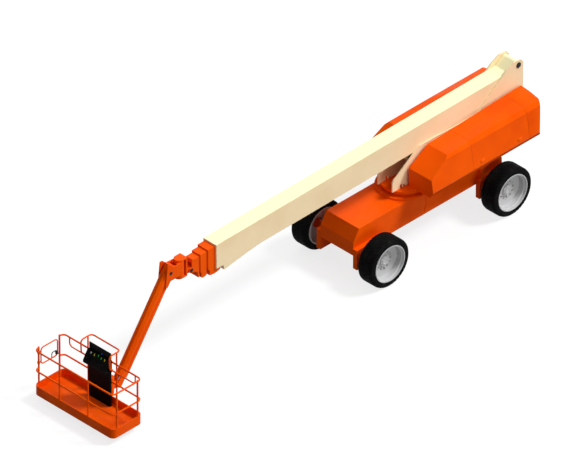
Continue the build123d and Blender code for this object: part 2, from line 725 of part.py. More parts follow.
def fly_head():
    """Side plates and a top plate at the fly boom's end, with the ears that carry the tip pin."""
    x, z = TIP_LEVEL
    top_x = FLY_FRONT + HEAD_L
    ear = slab_y((
        (FLY_FRONT, FLY_TOP),
        (top_x - 30, FLY_TOP),
        (top_x, FLY_TOP - 30),
        (top_x, z + TIP_EAR_R),
        (x, z + TIP_EAR_R),
        (x, z - TIP_EAR_R),
        (FLY_FRONT, z - TIP_EAR_R - 35),
    ), TIP_EAR_IN, FLY_HALF)
    ear += pin_y(x, z, TIP_EAR_R, TIP_EAR_IN, FLY_HALF)
    ear -= pin_y(x, z, TIP_PIN_R + RUN_FIT, TIP_EAR_IN, FLY_HALF)
    return both_sides(ear) + block(FLY_FRONT, top_x - 30, -FLY_HALF, FLY_HALF, FLY_TOP - HEAD_TOP_T, FLY_TOP)


NODES["base_boom"] = tilted(base_boom())
NODES["mid_boom"] = tilted(boom_section(0))
NODES["inner_boom"] = tilted(boom_section(1))
NODES["fly_boom"] = tilted(boom_section(2) + fly_head())

# Lift cylinder, laid from its turntable pin to the boom's lug
CYL_TOP = on_boom(CYL_LUG_X, BOOM_BOTTOM - CYL_LUG_DROP)


def cylinder_between(base, top):
    """Length and slope in degrees from one (x, z) point to another."""
    dx = top[0] - base[0]
    dz = top[1] - base[1]
    return math.hypot(dx, dz), math.degrees(math.atan2(dz, dx))


CYL_L, CYL_SLOPE = cylinder_between(CYL_BASE, CYL_TOP)


def along_cylinder(shape):
    """Piece made along +X from the origin, laid on the cylinder's line."""
    return Pos(CYL_BASE[0], 0, CYL_BASE[1]) * Rot(0, -CYL_SLOPE, 0) * shape


def lift_barrel():
    """Barrel with its base eye and a bored gland."""
    inside = CYL_BARREL_R - CYL_WALL
    barrel = bar((CYL_EYE_R - 20, 0, 0), (CYL_BARREL_L, 0, 0), CYL_BARREL_R)
    barrel -= bar((CYL_EYE_R + 60, 0, 0), (CYL_BARREL_L - 60, 0, 0), inside)
    barrel -= bar((CYL_BARREL_L - 60, 0, 0), (CYL_BARREL_L, 0, 0), CYL_ROD_R + RUN_FIT)
    barrel -= block(0, CYL_EYE_R + 40, CYL_EYE_HALF, CYL_BARREL_R, -CYL_BARREL_R, CYL_BARREL_R)
    barrel -= block(0, CYL_EYE_R + 40, -CYL_BARREL_R, -CYL_EYE_HALF, -CYL_BARREL_R, CYL_BARREL_R)
    barrel += pin_y(0, 0, CYL_EYE_R, -CYL_EYE_HALF, CYL_EYE_HALF)
    return barrel - pin_y(0, 0, CYL_PIN_R + RUN_FIT, -CYL_EYE_HALF, CYL_EYE_HALF)


def lift_rod():
    """Rod with its piston end inside the barrel and an open eye at the boom's lug."""
    rod = bar((CYL_EYE_R + 80, 0, 0), (CYL_L - CYL_EYE_R + 20, 0, 0), CYL_ROD_R)
    rod += pin_y(CYL_L, 0, CYL_EYE_R, -CYL_EYE_HALF, CYL_EYE_HALF)
    return rod - pin_y(CYL_L, 0, CYL_PIN_R + RUN_FIT, -CYL_EYE_HALF, CYL_EYE_HALF)


NODES["lift_barrel"] = along_cylinder(lift_barrel())
NODES["lift_rod"] = along_cylinder(lift_rod())

# Tip bracket and rotator, level at the boom's end
TIP_X, TIP_Z = on_boom(*TIP_LEVEL)
ROTATOR_X = TIP_X + ROTATOR_OUT
ROTATOR_TOP = TIP_Z + ROTATOR_UP
ROTATOR_BOTTOM = TIP_Z - ROTATOR_DOWN
JIB_X = ROTATOR_X + JIB_PIVOT_OUT
JIB_Z = TIP_Z + JIB_PIVOT_UP
TONGUE_HALF = TIP_EAR_IN - CLEAR


def tip_bracket():
    """Tongue on the tip pin, back plate, and lugs that hold the rotator's upright pin."""
    tongue_r = TIP_EAR_R - 10
    back_x = ROTATOR_X - ROTATOR_R - CLEAR
    low = ROTATOR_BOTTOM - ROTATOR_LUG_T
    high = ROTATOR_TOP + ROTATOR_LUG_T
    bracket = pin_y(TIP_X, TIP_Z, tongue_r, -TONGUE_HALF, TONGUE_HALF)
    bracket += block(TIP_X, back_x, -TONGUE_HALF, TONGUE_HALF, TIP_Z - tongue_r, TIP_Z + tongue_r)
    bracket += block(back_x - ROTATOR_BACK_T, back_x, -ROTATOR_R, ROTATOR_R, low, high)
    for z in (low, ROTATOR_TOP):
        bracket += pin_z(ROTATOR_X, 0, ROTATOR_R, z, z + ROTATOR_LUG_T)
        bracket += block(back_x, ROTATOR_X, -ROTATOR_R, ROTATOR_R, z, z + ROTATOR_LUG_T)
    bracket += pin_z(ROTATOR_X, 0, ROTATOR_PIN_R, ROTATOR_BOTTOM, ROTATOR_TOP)
    return bracket + pin_y(TIP_X, TIP_Z, TIP_PIN_R, -FLY_HALF - 10, FLY_HALF + 10)


def jib_rotator():
    """Drum on the upright pin and the large side plates that hold the jib's pin."""
    clevis_in = JIB_W / 2 + CLEAR
    clevis_out = clevis_in + JIB_CLEVIS_T
    low = ROTATOR_BOTTOM + SLIDE_FIT
    high = ROTATOR_TOP - SLIDE_FIT
    plate_x = ROTATOR_X + 40
    body = pin_z(ROTATOR_X, 0, ROTATOR_R, low, high)
    clevis = slab_y((
        (plate_x, JIB_Z + 110),
        (JIB_X - 75, JIB_Z + 130),
        (JIB_X + 30, JIB_Z + CLEVIS_UP),
        (JIB_X + 100, JIB_Z + CLEVIS_UP),
        (JIB_X + 165, JIB_Z - CLEVIS_DOWN),
        (JIB_X + 105, JIB_Z - CLEVIS_DOWN),
        (JIB_X + 10, JIB_Z - 200),
        (plate_x, JIB_Z - 200),
    ), clevis_in, clevis_out)
    web = block(plate_x, ROTATOR_X + ROTATOR_R + 20, ROTATOR_R / 2, clevis_out, JIB_Z - 200, JIB_Z + 110)
    body += both_sides(clevis + web)
    body -= pin_z(ROTATOR_X, 0, ROTATOR_PIN_R + RUN_FIT, low, high)
    return body + pin_y(JIB_X, JIB_Z, JIB_PIN_R, -clevis_out - 10, clevis_out + 10)


# Jib, made along +X from its pivot and laid at its stowed slope
JIB_END_X = JIB_X + JIB_L * math.cos(math.radians(JIB_DEG))
JIB_END_Z = JIB_Z - JIB_L * math.sin(math.radians(JIB_DEG))
SUPPORT_PIN_END_R = SUPPORT_PIN_END + RUN_FIT


def jib_boom():
    """Chamfered box jib, grooved along its sides, with cheeks at its far end."""
    half_w = JIB_W / 2
    half_h = JIB_H / 2
    body_end = JIB_L - JIB_END_L
    outline = (
        (-half_w, -half_h),
        (half_w, -half_h),
        (half_w, half_h - JIB_CHAMFER),
        (half_w - JIB_CHAMFER, half_h),
        (JIB_CHAMFER - half_w, half_h),
        (-half_w, half_h - JIB_CHAMFER),
    )
    jib = slab_x(outline, -JIB_BACK, body_end)
    jib -= block(
        JIB_BACK, body_end, JIB_WALL - half_w, half_w - JIB_WALL, JIB_WALL - half_h, half_h - JIB_CHAMFER)
    jib -= both_sides(block(
        2 * JIB_BACK, body_end - JIB_BACK, half_w - JIB_GROOVE_DEPTH, half_w, -JIB_GROOVE_H, 0))
    jib -= pin_y(0, 0, JIB_PIN_R + RUN_FIT, -half_w, half_w)
    cheek = block(body_end - 60, JIB_L, half_w - JIB_CHEEK_T, half_w, -JIB_CHEEK_R, JIB_CHEEK_R)
    cheek += pin_y(JIB_L, 0, JIB_CHEEK_R, half_w - JIB_CHEEK_T, half_w)
    cheek -= pin_y(JIB_L, 0, SUPPORT_PIN_END_R, half_w - JIB_CHEEK_T, half_w)
    return jib + both_sides(cheek)


NODES["tip_bracket"] = tip_bracket()
NODES["jib_rotator"] = jib_rotator()
NODES["jib_boom"] = Pos(JIB_X, 0, JIB_Z) * Rot(0, JIB_DEG, 0) * jib_boom()

# Platform support, level at the jib's end
TURN_X = JIB_END_X + SUPPORT_OUT
SUPPORT_TOP = JIB_END_Z + SUPPORT_UP
SUPPORT_BOTTOM = JIB_END_Z - SUPPORT_DOWN


def platform_support():
    """Tongue on the jib's end pin and the column that the platform turns on."""
    half = JIB_W / 2 - JIB_CHEEK_T - CLEAR
    tongue_r = JIB_CHEEK_R - 10
    support = pin_y(JIB_END_X, JIB_END_Z, tongue_r, -half, half)
    support += block(
        JIB_END_X, TURN_X, -half, half, JIB_END_Z - tongue_r, JIB_END_Z + tongue_r)
    support += pin_z(TURN_X, 0, SUPPORT_R, SUPPORT_BOTTOM, SUPPORT_TOP)
    plate = SUPPORT_PLATE_T + SLIDE_FIT
    support += pin_z(TURN_X, 0, SUPPORT_PIN_R, SUPPORT_BOTTOM - plate, SUPPORT_TOP + plate)
    return support + pin_y(JIB_END_X, JIB_END_Z, SUPPORT_PIN_END, -JIB_W / 2 - 10, JIB_W / 2 + 10)


NODES["platform_support"] = platform_support()

# Platform: tray, rails, gate and console
PLATFORM_BACK = TURN_X + PLATFORM_GAP
PLATFORM_X = PLATFORM_BACK + PLATFORM_W / 2
PLATFORM_BOTTOM = JIB_END_Z - PLATFORM_DROP
PLATFORM_FLOOR = PLATFORM_BOTTOM + FLOOR_T
TOE_TOP = PLATFORM_BOTTOM + TOE_H
RAIL_TOP = PLATFORM_BOTTOM + RAIL_H
RAIL_MID = PLATFORM_BOTTOM + RAIL_MID_H
GATE_TOP = RAIL_TOP - GATE_DROP
GATE_BOTTOM = GATE_TOP - GATE_H
GUARD_TOP = RAIL_TOP + GUARD_RISE
CONSOLE_TOP = PLATFORM_FLOOR + CONSOLE_H
CONSOLE_BACK_TOP = CONSOLE_TOP + CONTROL_H + CONSOLE_BACK_H
RAIL_HALF_X = PLATFORM_W / 2 - TUBE_R
RAIL_HALF_Y = PLATFORM_L / 2 - TUBE_R
RAIL_R = PLATFORM_R - TUBE_R


def rounded_plan(width, length, radius, z0, z1):
    """Rounded rectangle about the platform's middle, width along X."""
    plan = Pos(PLATFORM_X, 0, z0) * RectangleRounded(width, length, radius)
    return extrude(plan, amount=z1 - z0)


def platform_tray():
    """Floor with toe boards and the bracket that turns on the support."""
    tray = rounded_plan(PLATFORM_W, PLATFORM_L, PLATFORM_R, PLATFORM_BOTTOM, TOE_TOP)
    tray -= rounded_plan(
        PLATFORM_W - 2 * TOE_T, PLATFORM_L - 2 * TOE_T, PLATFORM_R - TOE_T, PLATFORM_FLOOR, TOE_TOP)
    wall_x = TURN_X + SUPPORT_R + CLEAR
    low = SUPPORT_BOTTOM - SLIDE_FIT - SUPPORT_PLATE_T
    high = SUPPORT_TOP + SLIDE_FIT
    reach = SUPPORT_R
    tray += block(wall_x, wall_x + 40, -reach, reach, low, high + SUPPORT_PLATE_T)
    tray += block(wall_x, PLATFORM_BACK, -reach, reach, low, TOE_TOP - 40)
    for z in (low, high):
        plate = pin_z(TURN_X, 0, reach, z, z + SUPPORT_PLATE_T)
        plate += block(TURN_X, wall_x, -reach, reach, z, z + SUPPORT_PLATE_T)
        plate -= pin_z(TURN_X, 0, SUPPORT_PIN_R + RUN_FIT, z, z + SUPPORT_PLATE_T)
        tray += plate
    return tray


def long_rails(x):
    """Top and middle rails along one long side, with two posts."""
    straight = RAIL_HALF_Y - RAIL_R
    rails = Part()
    for z in (RAIL_TOP, RAIL_MID):
        rails += bar((x, -straight, z), (x, straight, z), TUBE_R)
    for y in (-SIDE_POST, SIDE_POST):
        rails += pin_z(x, y, SIDE_POST_R, TOE_TOP, RAIL_TOP)
    return rails


def end_corner(z, out):
    """Rail from a long side round its corner to the end post on the +Y end."""
    x0 = PLATFORM_X + out * RAIL_HALF_X
    x1 = PLATFORM_X + out * (RAIL_HALF_X - RAIL_R)
    centre_y = RAIL_HALF_Y - RAIL_R
    slant = RAIL_R * math.sqrt(0.5)
    arc = ThreePointArc(
        (x0, centre_y, z), (x1 + out * slant, centre_y + slant, z), (x1, RAIL_HALF_Y, z))
    run = Line((x1, RAIL_HALF_Y, z), (PLATFORM_X + out * END_POST, RAIL_HALF_Y, z))
    ring = Plane(origin=(x0, centre_y, z), z_dir=(0, 1, 0)) * Circle(TUBE_R)
    return sweep(ring, path=Wire([arc, run]))


def end_rails(closed):
    """Corners and posts of the +Y end, with rails across unless a gate is there."""
    rails = Part()
    for out in (-1, 1):
        x = PLATFORM_X + out * END_POST
        rails += pin_z(x, RAIL_HALF_Y, END_POST_R, TOE_TOP, RAIL_TOP + TUBE_R + POST_CAP)
        for z in (RAIL_TOP, RAIL_MID):
            rails += end_corner(z, out)
    if closed:
        for z in (RAIL_TOP, RAIL_MID):
            rails += bar(
                (PLATFORM_X - END_POST, RAIL_HALF_Y, z), (PLATFORM_X + END_POST, RAIL_HALF_Y, z), TUBE_R)
    return rails


def bent_tube(points, bend, radius):
    """Tube through points, with bends of one radius."""
    path = FilletPolyline(*points, radius=bend)
    ring = Plane(origin=path @ 0, z_dir=path % 0) * Circle(radius)
    return sweep(ring, path=path)


def back_rails():
    """Rails on the boom side, low hoops under them and the guard round the console."""
    x = PLATFORM_X - RAIL_HALF_X
    hoop_z = RAIL_TOP - HOOP_DROP
    front = x + GUARD_REACH
    arm = ((x, hoop_z), (front - 15, RAIL_TOP - 10), (front, GUARD_TOP), (x - GUARD_LEAN, GUARD_TOP))
    guard = [(a, -SIDE_POST, z) for a, z in arm] + [(a, SIDE_POST, z) for a, z in reversed(arm)]
    rails = long_rails(x) + bent_tube(guard, GUARD_BEND_R, GUARD_TUBE_R)
    for side in (-1, 1):
        inner = side * SIDE_POST
        outer = side * HOOP_OUT
        rails += bent_tube(
            ((x, inner, hoop_z), (x, outer, hoop_z), (x, outer, RAIL_TOP)), HOOP_BEND_R, HOOP_TUBE_R)
        rails += pin_z(x, inner, SIDE_POST_R, RAIL_TOP, GUARD_TOP)
    return rails


def gate():
    """Gate loop on two rings that turn on the front post of the -Y end."""
    post_x = PLATFORM_X + END_POST
    y = -RAIL_HALF_Y
    far = post_x - 70
    near = far - GATE_L
    loop = FilletPolyline(
        (far, y, GATE_TOP), (far, y, GATE_BOTTOM), (near, y, GATE_BOTTOM), (near, y, GATE_TOP),
        radius=80, close=True)
    start = loop @ 0
    ring = Plane(origin=start, z_dir=loop % 0) * Circle(GATE_TUBE_R)
    body = sweep(ring, path=loop)
    for z in (GATE_BOTTOM + 80, GATE_TOP - 80):
        body += block(far, post_x, y - 8, y + 8, z - 15, z + 15)
        body += pin_z(post_x, y, GATE_RING_R, z - GATE_RING_H / 2, z + GATE_RING_H / 2)
    return body - pin_z(post_x, y, END_POST_R + SLIDE_FIT, TOE_TOP, RAIL_TOP)


def console():
    """Control console on the boom side of the floor: panel, sloped control box, back plate and end grips."""
    back = PLATFORM_X - RAIL_HALF_X + TUBE_R + CONSOLE_BACK_GAP
    half = CONSOLE_W / 2
    wide = CONTROL_W / 2
    y = CONSOLE_Y
    body = block(back, back + CONSOLE_D, y - half, y + half, PLATFORM_FLOOR, CONSOLE_TOP)
    body += slab_y((
        (back, CONSOLE_TOP),
        (back + CONTROL_D, CONSOLE_TOP),
        (back + CONTROL_D, CONSOLE_TOP + CONTROL_LIP),
        (back + CONSOLE_D, CONSOLE_TOP + CONTROL_H),
        (back, CONSOLE_TOP + CONTROL_H),
    ), y - wide, y + wide)
    body += block(
        back, back + CONSOLE_BACK_T, y - half, y + half, CONSOLE_TOP + CONTROL_H, CONSOLE_BACK_TOP)
    grip_x = back + CONSOLE_D
    grip_z = CONSOLE_TOP + CONTROL_KNOB_R
    return body + pin_y(grip_x, grip_z, CONTROL_KNOB_R, y - wide - CONTROL_KNOB_L, y + wide + CONTROL_KNOB_L)


NODES["platform_tray"] = platform_tray()
NODES["rail_front"] = long_rails(PLATFORM_X + RAIL_HALF_X)
NODES["rail_back"] = back_rails()
NODES["rail_left"] = end_rails(True)
NODES["rail_right"] = mirror(end_rails(False), about=Plane.XZ)
NODES["gate"] = gate()
NODES["console"] = console()

# Origin on the ground under the middle of the overall length
FRONT_END = PLATFORM_X + PLATFORM_W / 2
REAR_END = PIVOT_X - 150
ORIGIN_X = (FRONT_END + REAR_END) / 2

os.makedirs("parts", exist_ok=True)
for name, shape in NODES.items():
    export_step(Pos(-ORIGIN_X, 0, 0) * shape, f"parts/{name}.step")
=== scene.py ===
"""Looks of a stowed telescopic boom lift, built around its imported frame. Metres, +X forward, +Z up."""
import json
import math

import bmesh
import bpy
from mathutils import Matrix, Vector


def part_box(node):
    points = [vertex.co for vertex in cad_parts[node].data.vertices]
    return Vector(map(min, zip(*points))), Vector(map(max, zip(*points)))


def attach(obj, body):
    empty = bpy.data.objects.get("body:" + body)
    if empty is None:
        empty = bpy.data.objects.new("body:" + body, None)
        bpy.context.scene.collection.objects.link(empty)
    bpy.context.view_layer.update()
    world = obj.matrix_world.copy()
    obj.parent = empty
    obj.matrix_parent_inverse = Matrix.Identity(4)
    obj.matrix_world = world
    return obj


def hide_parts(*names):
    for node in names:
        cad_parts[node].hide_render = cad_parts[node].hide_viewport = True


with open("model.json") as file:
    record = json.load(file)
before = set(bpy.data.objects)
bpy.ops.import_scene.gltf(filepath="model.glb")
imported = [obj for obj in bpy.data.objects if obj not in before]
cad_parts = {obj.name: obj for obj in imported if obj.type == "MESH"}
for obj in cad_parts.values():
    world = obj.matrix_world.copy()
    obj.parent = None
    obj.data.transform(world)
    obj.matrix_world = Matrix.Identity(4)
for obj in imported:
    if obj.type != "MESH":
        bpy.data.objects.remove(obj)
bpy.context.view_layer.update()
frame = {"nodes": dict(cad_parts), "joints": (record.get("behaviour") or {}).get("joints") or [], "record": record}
JOINTS = {joint["name"]: joint for joint in frame["joints"]}

# Colours, linear: "deep" is the clouds' other shade, "edge" a painted highlight on edges, which paint also rubs in
# patches as wear
WHITE = (1.0, 1.0, 1.0)
ORANGE = (0.96, 0.105, 0.001)
ORANGE_DEEP = (0.82, 0.075, 0.001)
ORANGE_EDGE_HIGHLIGHT = (1.0, 0.2, 0.01)
ORANGE_SHEEN = (1.0, 0.35, 0.05)
DECK_WORN = (0.62, 0.2, 0.1)
CREAM = (0.98, 0.79, 0.50)
CREAM_DEEP = (0.93, 0.72, 0.43)
# painted light: paler cream for faces that point up
CREAM_LIT_TOP = (1.0, 0.97, 0.60)
CREAM_EDGE_HIGHLIGHT = (1.0, 0.93, 0.72)
RIM_GREY = (0.58, 0.58, 0.58)
RIM_DEEP = (0.5, 0.5, 0.51)
RIM_EDGE_HIGHLIGHT = (0.75, 0.75, 0.75)
STEEL = (0.62, 0.62, 0.63)
ZINC = (0.42, 0.42, 0.40)
BLACK = (0.008, 0.008, 0.009)
BLACK_DEEP = (0.02, 0.02, 0.021)
BLACK_EDGE_HIGHLIGHT = (0.06, 0.06, 0.06)
RUBBER = (0.004, 0.004, 0.004)
RUBBER_DUST = (0.012, 0.0115, 0.011)
ENGINE_GREY = (0.10, 0.105, 0.11)
ENGINE_DEEP = (0.07, 0.07, 0.075)
ENGINE_EDGE_HIGHLIGHT = (0.3, 0.3, 0.3)
CONSOLE_BLACK = (0.002, 0.002, 0.0022)
CAP_WHITE = (0.7, 0.7, 0.68)
CAP_YELLOW = (0.85, 0.65, 0.02)
CAP_GREEN = (0.03, 0.5, 0.06)
CAP_BLUE = (0.02, 0.12, 0.6)
FLOOR_GREY = (0.25, 0.25, 0.25)

# Camera: isometric corner view with a long lens
VIEW_W = 12.717  # width of the view at the target
VIEW_FROM = Vector((1.0, 1.0, 1.0)).normalized()
TARGET = Vector((0.1065, 0.0, 1.624))
LENS = 1300.0
SENSOR = 36.0

# Light
LAMPS = (
    # name, direction that it shines from, strength, width in degrees
    ("key", (-0.45, 0.42, 0.79), 2.4, 14.0),
    ("side", (0.0, 0.98, 0.2), 0.7, 30.0),
    ("overhead", (-0.3, 0.0, 0.95), 0.7, 90.0),
    ("fill", (-0.55, -0.75, 0.35), 0.55, 60.0),
)
SKY = 0.2  # strength of the sky as a light
FLOOR_GLOW = 0.78
FLOOR_REACH = 400.0


# Materials
class Graph:
    """A material's node tree, with short calls to add nodes and link them."""

    def __init__(self, name):
        self.material = bpy.data.materials.new(name)
        self.material.use_nodes = True
        self.tree = self.material.node_tree
        self.shader = self.tree.nodes["Principled BSDF"]

    def add(self, kind, settings=None, **links):
        """New node; each link or value goes to the input whose name has underscores for spaces."""
        made = self.tree.nodes.new(kind)
        for key, value in (settings or {}).items():
            setattr(made, key, value)
        for key, value in links.items():
            self.put(made, key.replace("_", " "), value)
        return made

    def put(self, made, key, value):
        """Sets or links one input, by its name or, as in i0, by its number."""
        by_number = key[0] == "i" and key[1:].isdigit()
        socket = made.inputs[int(key[1:]) if by_number else key]
        if isinstance(value, bpy.types.NodeSocket):
            self.tree.links.new(value, socket)
        elif isinstance(value, tuple) and len(value) == 3 and socket.type == "RGBA":
            socket.default_value = (*value, 1.0)
        else:
            socket.default_value = value

    def math(self, operation, a, b=0.0):
        """Result of a sum, product or comparison of two values."""
        return self.add("ShaderNodeMath", {"operation": operation}, i0=a, i1=b).outputs[0]

    def place(self):
        """Coordinates fixed to the piece, in metres."""
        return self.add("ShaderNodeTexCoord").outputs["Object"]

    def upward(self):
        """Height of the surface's direction, 1 where it faces up."""
        direction = self.add("ShaderNodeTexCoord").outputs["Normal"]
        return self.add("ShaderNodeSeparateXYZ", Vector=direction).outputs["Z"]

    def noise(self, scale, detail=3.0, place=None):
        """Cloudy value about 0.5."""
        made = self.add(
            "ShaderNodeTexNoise", Vector=place or self.place(), Scale=scale, Detail=detail)
        return made.outputs["Fac"]

    def span(self, value, low, high, out_low=0.0, out_high=1.0):
        """Value taken from one range to another, smooth at both ends."""
        made = self.add(
            "ShaderNodeMapRange", {"interpolation_type": "SMOOTHSTEP"}, Value=value,
            From_Min=low, From_Max=high, To_Min=out_low, To_Max=out_high)
        return made.outputs["Result"]

    def mix(self, share, a, b):
        """Blend of two colours."""
        made = self.add("ShaderNodeMix", {"data_type": "RGBA"})
        self.put(made, "i0", share)
        self.put(made, "i6", a)
        self.put(made, "i7", b)
        return made.outputs[2]

    def rounded(self, radius):
        """Normal that rounds sharp edges off."""
        return self.add("ShaderNodeBevel", {"samples": 4}, Radius=radius).outputs["Normal"]

    def edges(self, normal, low=0.005, high=0.12):
        """Share from 0 on flats to 1 on sharp edges."""
        true = self.add("ShaderNodeNewGeometry").outputs["True Normal"]
        dot = self.add("ShaderNodeVectorMath", {"operation": "DOT_PRODUCT"}, i0=normal, i1=true)
        bend = self.math("SUBTRACT", 1.0, dot.outputs["Value"])
        return self.span(bend, low, high)

    def bump(self, height, distance, normal):
        """Normal bent by a height times a distance in metres."""
        made = self.add(
            "ShaderNodeBump", Height=height, Distance=distance, Strength=1.0, Normal=normal)
        return made.outputs["Normal"]

    def finish(self, **links):
        """Sets the shader's inputs and gives the material."""
        for key, value in links.items():
            self.put(self.shader, key.replace("_", " "), value)
        return self.material


def paint(name, colour, deep, edge, gloss=0.42, peel=0.00012, edge_radius=0.006, top=None,
          shine=0.16, sheen=WHITE):
    """Sprayed paint: faint clouds of colour, orange peel, paler edges that are partly rubbed and partly a painted
    highlight, a little dust, and, with a top colour, painted light on faces that point up.
    """
    g = Graph(name)
    base = g.mix(g.span(g.noise(0.9, 4.0), 0.35, 0.75), colour, deep)
    # Painted light: with a top colour, faces that point up turn paler, as if lit from above
    if top:
        base = g.mix(g.span(g.upward(), 0.55, 0.95), base, top)
    normal = g.rounded(edge_radius)
    # Painted highlight and wear: edges turn to the paler edge colour, in patches
    rubbed_and_highlit = g.math("MULTIPLY", g.edges(normal), g.span(g.noise(14.0), 0.35, 0.62, 0.25, 0.8))
    speck = g.span(g.noise(180.0, 2.0), 0.66, 0.74, 0.0, 0.35)
    base = g.mix(g.math("MULTIPLY", speck, 0.25), g.mix(rubbed_and_highlit, base, edge), deep)
    rough = g.span(g.noise(5.0, 5.0), 0.3, 0.75, gloss - 0.06, gloss + 0.12)
    peeled = g.bump(g.noise(320.0, 1.0), peel, normal)
    return g.finish(
        Base_Color=base, Roughness=rough, Normal=peeled, Specular_IOR_Level=shine, Specular_Tint=sheen)


def deck_plate(name):
    """Painted tread plate: raised bars in two directions on what faces up, and a painted highlight on its edges.
    """
    g = Graph(name)
    place = g.place()
    pattern = None
    for turn, shift in ((45.0, 0.0), (-45.0, 0.021)):
        moved = g.add(
            "ShaderNodeMapping", Vector=place, Location=(shift, shift, 0.0),
            Rotation=(0.0, 0.0, math.radians(turn)), Scale=(24.0, 72.0, 0.0))
        cell = g.add("ShaderNodeTexVoronoi", Vector=moved.outputs["Vector"], Scale=1.0, Randomness=0.0)
        bar_height = g.span(cell.outputs["Distance"], 0.2, 0.34, 1.0, 0.0)
        pattern = g.math("MAXIMUM", pattern, bar_height) if pattern else bar_height
    raised = g.math("MULTIPLY", pattern, g.span(g.upward(), 0.8, 0.95))
    normal = g.rounded(0.006)
    worn = g.math("MULTIPLY", raised, g.span(g.noise(6.0), 0.45, 0.7, 0.0, 0.35))
    base = g.mix(g.span(g.noise(1.5, 4.0), 0.35, 0.75), ORANGE, ORANGE_DEEP)
    # Painted highlight: every edge half way to a paler orange
    base = g.mix(g.math("MULTIPLY", g.edges(normal), 0.5), base, ORANGE_EDGE_HIGHLIGHT)
    base = g.mix(worn, base, DECK_WORN)
    return g.finish(
        Base_Color=base, Roughness=g.span(g.noise(7.0), 0.3, 0.7, 0.34, 0.55),
        Normal=g.bump(raised, 0.0025, normal), Specular_IOR_Level=0.06, Specular_Tint=ORANGE_SHEEN)


def casting(name):
    """Painted cast iron: coarse sand skin under the paint, and a painted highlight on its edges."""
    g = Graph(name)
    normal = g.rounded(0.012)
    base = g.mix(g.span(g.noise(1.2, 4.0), 0.35, 0.75), ORANGE, ORANGE_DEEP)
    # Painted highlight: every edge half way to a paler orange
    base = g.mix(g.math("MULTIPLY", g.edges(normal), 0.5), base, ORANGE_EDGE_HIGHLIGHT)
    skin = g.math("ADD", g.noise(90.0, 4.0), g.math("MULTIPLY", g.noise(9.0), 2.0))
    return g.finish(
        Base_Color=base, Roughness=g.span(g.noise(8.0), 0.3, 0.7, 0.36, 0.52),
        Normal=g.bump(skin, 0.0007, normal), Specular_IOR_Level=0.06, Specular_Tint=ORANGE_SHEEN)


def steel(name, colour, rough, marks_scale):
    """Steel with fine marks, drawn out where the scale along an axis is low."""
    g = Graph(name)
    stretched = g.add("ShaderNodeMapping", Vector=g.place(), Scale=marks_scale)
    marks = g.noise(1.0, 4.0, stretched.outputs["Vector"])
    darker = tuple(0.8 * c for c in colour)
    base = g.mix(g.span(g.noise(6.0), 0.4, 0.7), colour, darker)
    return g.finish(
        Base_Color=base, Metallic=1.0, Roughness=g.span(marks, 0.3, 0.7, rough - 0.06, rough + 0.12),
        Normal=g.bump(marks, 0.0002, g.rounded(0.003)))


def rubber(name):
    """Tyre rubber: matt, dusty in patches, with a fine grain."""
    g = Graph(name)
    base = g.mix(g.span(g.noise(5.0, 5.0), 0.45, 0.8), RUBBER, RUBBER_DUST)
    return g.finish(
        Base_Color=base, Roughness=g.span(g.noise(12.0), 0.3, 0.7, 0.62, 0.8),
        Normal=g.bump(g.noise(260.0, 2.0), 0.0004, g.rounded(0.006)), Specular_IOR_Level=0.03)


def plastic(name, colour, rough=0.35, grain=0.0003):
    """Moulded plastic with a fine leathery grain and a painted highlight on its edges."""
    g = Graph(name)
    cells = g.add("ShaderNodeTexVoronoi", Vector=g.place(), Scale=420.0).outputs["Distance"]
    paler = tuple(min(1.0, c * 1.5 + 0.003) for c in colour)
    normal = g.rounded(0.004)
    # Painted highlight: edges half way to a paler colour
    base = g.mix(g.math("MULTIPLY", g.edges(normal), 0.5), colour, paler)
    return g.finish(
        Base_Color=g.mix(g.span(g.noise(4.0), 0.4, 0.8, 0.0, 0.5), base, paler),
        Roughness=g.span(g.noise(9.0), 0.3, 0.7, rough - 0.08, rough + 0.1),
        Normal=g.bump(cells, grain, normal), Specular_IOR_Level=0.03)


MATERIALS = {
    "orange_paint": paint(
        "orange_paint", ORANGE, ORANGE_DEEP, ORANGE_EDGE_HIGHLIGHT, shine=0.06, sheen=ORANGE_SHEEN),
    "orange_cover": paint(
        "orange_cover", ORANGE, ORANGE_DEEP, ORANGE_EDGE_HIGHLIGHT, gloss=0.36, peel=0.0002, edge_radius=0.014,
        shine=0.08, sheen=ORANGE_SHEEN),
    "orange_matt": paint("orange_matt", ORANGE, ORANGE_DEEP, ORANGE_EDGE_HIGHLIGHT, gloss=0.6, shine=0.0),
    "orange_deck": deck_plate("orange_deck"),
    "orange_casting": casting("orange_casting"),
    # painted light: the cream is paler on its tops
    "cream_paint": paint(
        "cream_paint", CREAM, CREAM_DEEP, CREAM_EDGE_HIGHLIGHT, gloss=0.4, edge_radius=0.005, top=CREAM_LIT_TOP),
    "cream_plate": paint("cream_plate", CREAM, CREAM_DEEP, CREAM_EDGE_HIGHLIGHT, gloss=0.45),
    "bright_steel": steel("bright_steel", STEEL, 0.28, (400.0, 6.0, 400.0)),
    "zinc": steel("zinc", ZINC, 0.38, (60.0, 60.0, 60.0)),
    "dark_paint": paint("dark_paint", BLACK, BLACK_DEEP, BLACK_EDGE_HIGHLIGHT, gloss=0.4),
    "engine_grey": paint("engine_grey", ENGINE_GREY, ENGINE_DEEP, ENGINE_EDGE_HIGHLIGHT, gloss=0.45, peel=0.0004),
    "black_plastic": plastic("black_plastic", CONSOLE_BLACK, rough=0.5),
    "white_cap": plastic("white_cap", CAP_WHITE),
    "yellow_cap": plastic("yellow_cap", CAP_YELLOW),
    "green_cap": plastic("green_cap", CAP_GREEN),
    "blue_cap": plastic("blue_cap", CAP_BLUE),
    "rim_grey": paint("rim_grey", RIM_GREY, RIM_DEEP, RIM_EDGE_HIGHLIGHT, gloss=0.34),
    "tyre": rubber("tyre"),
}

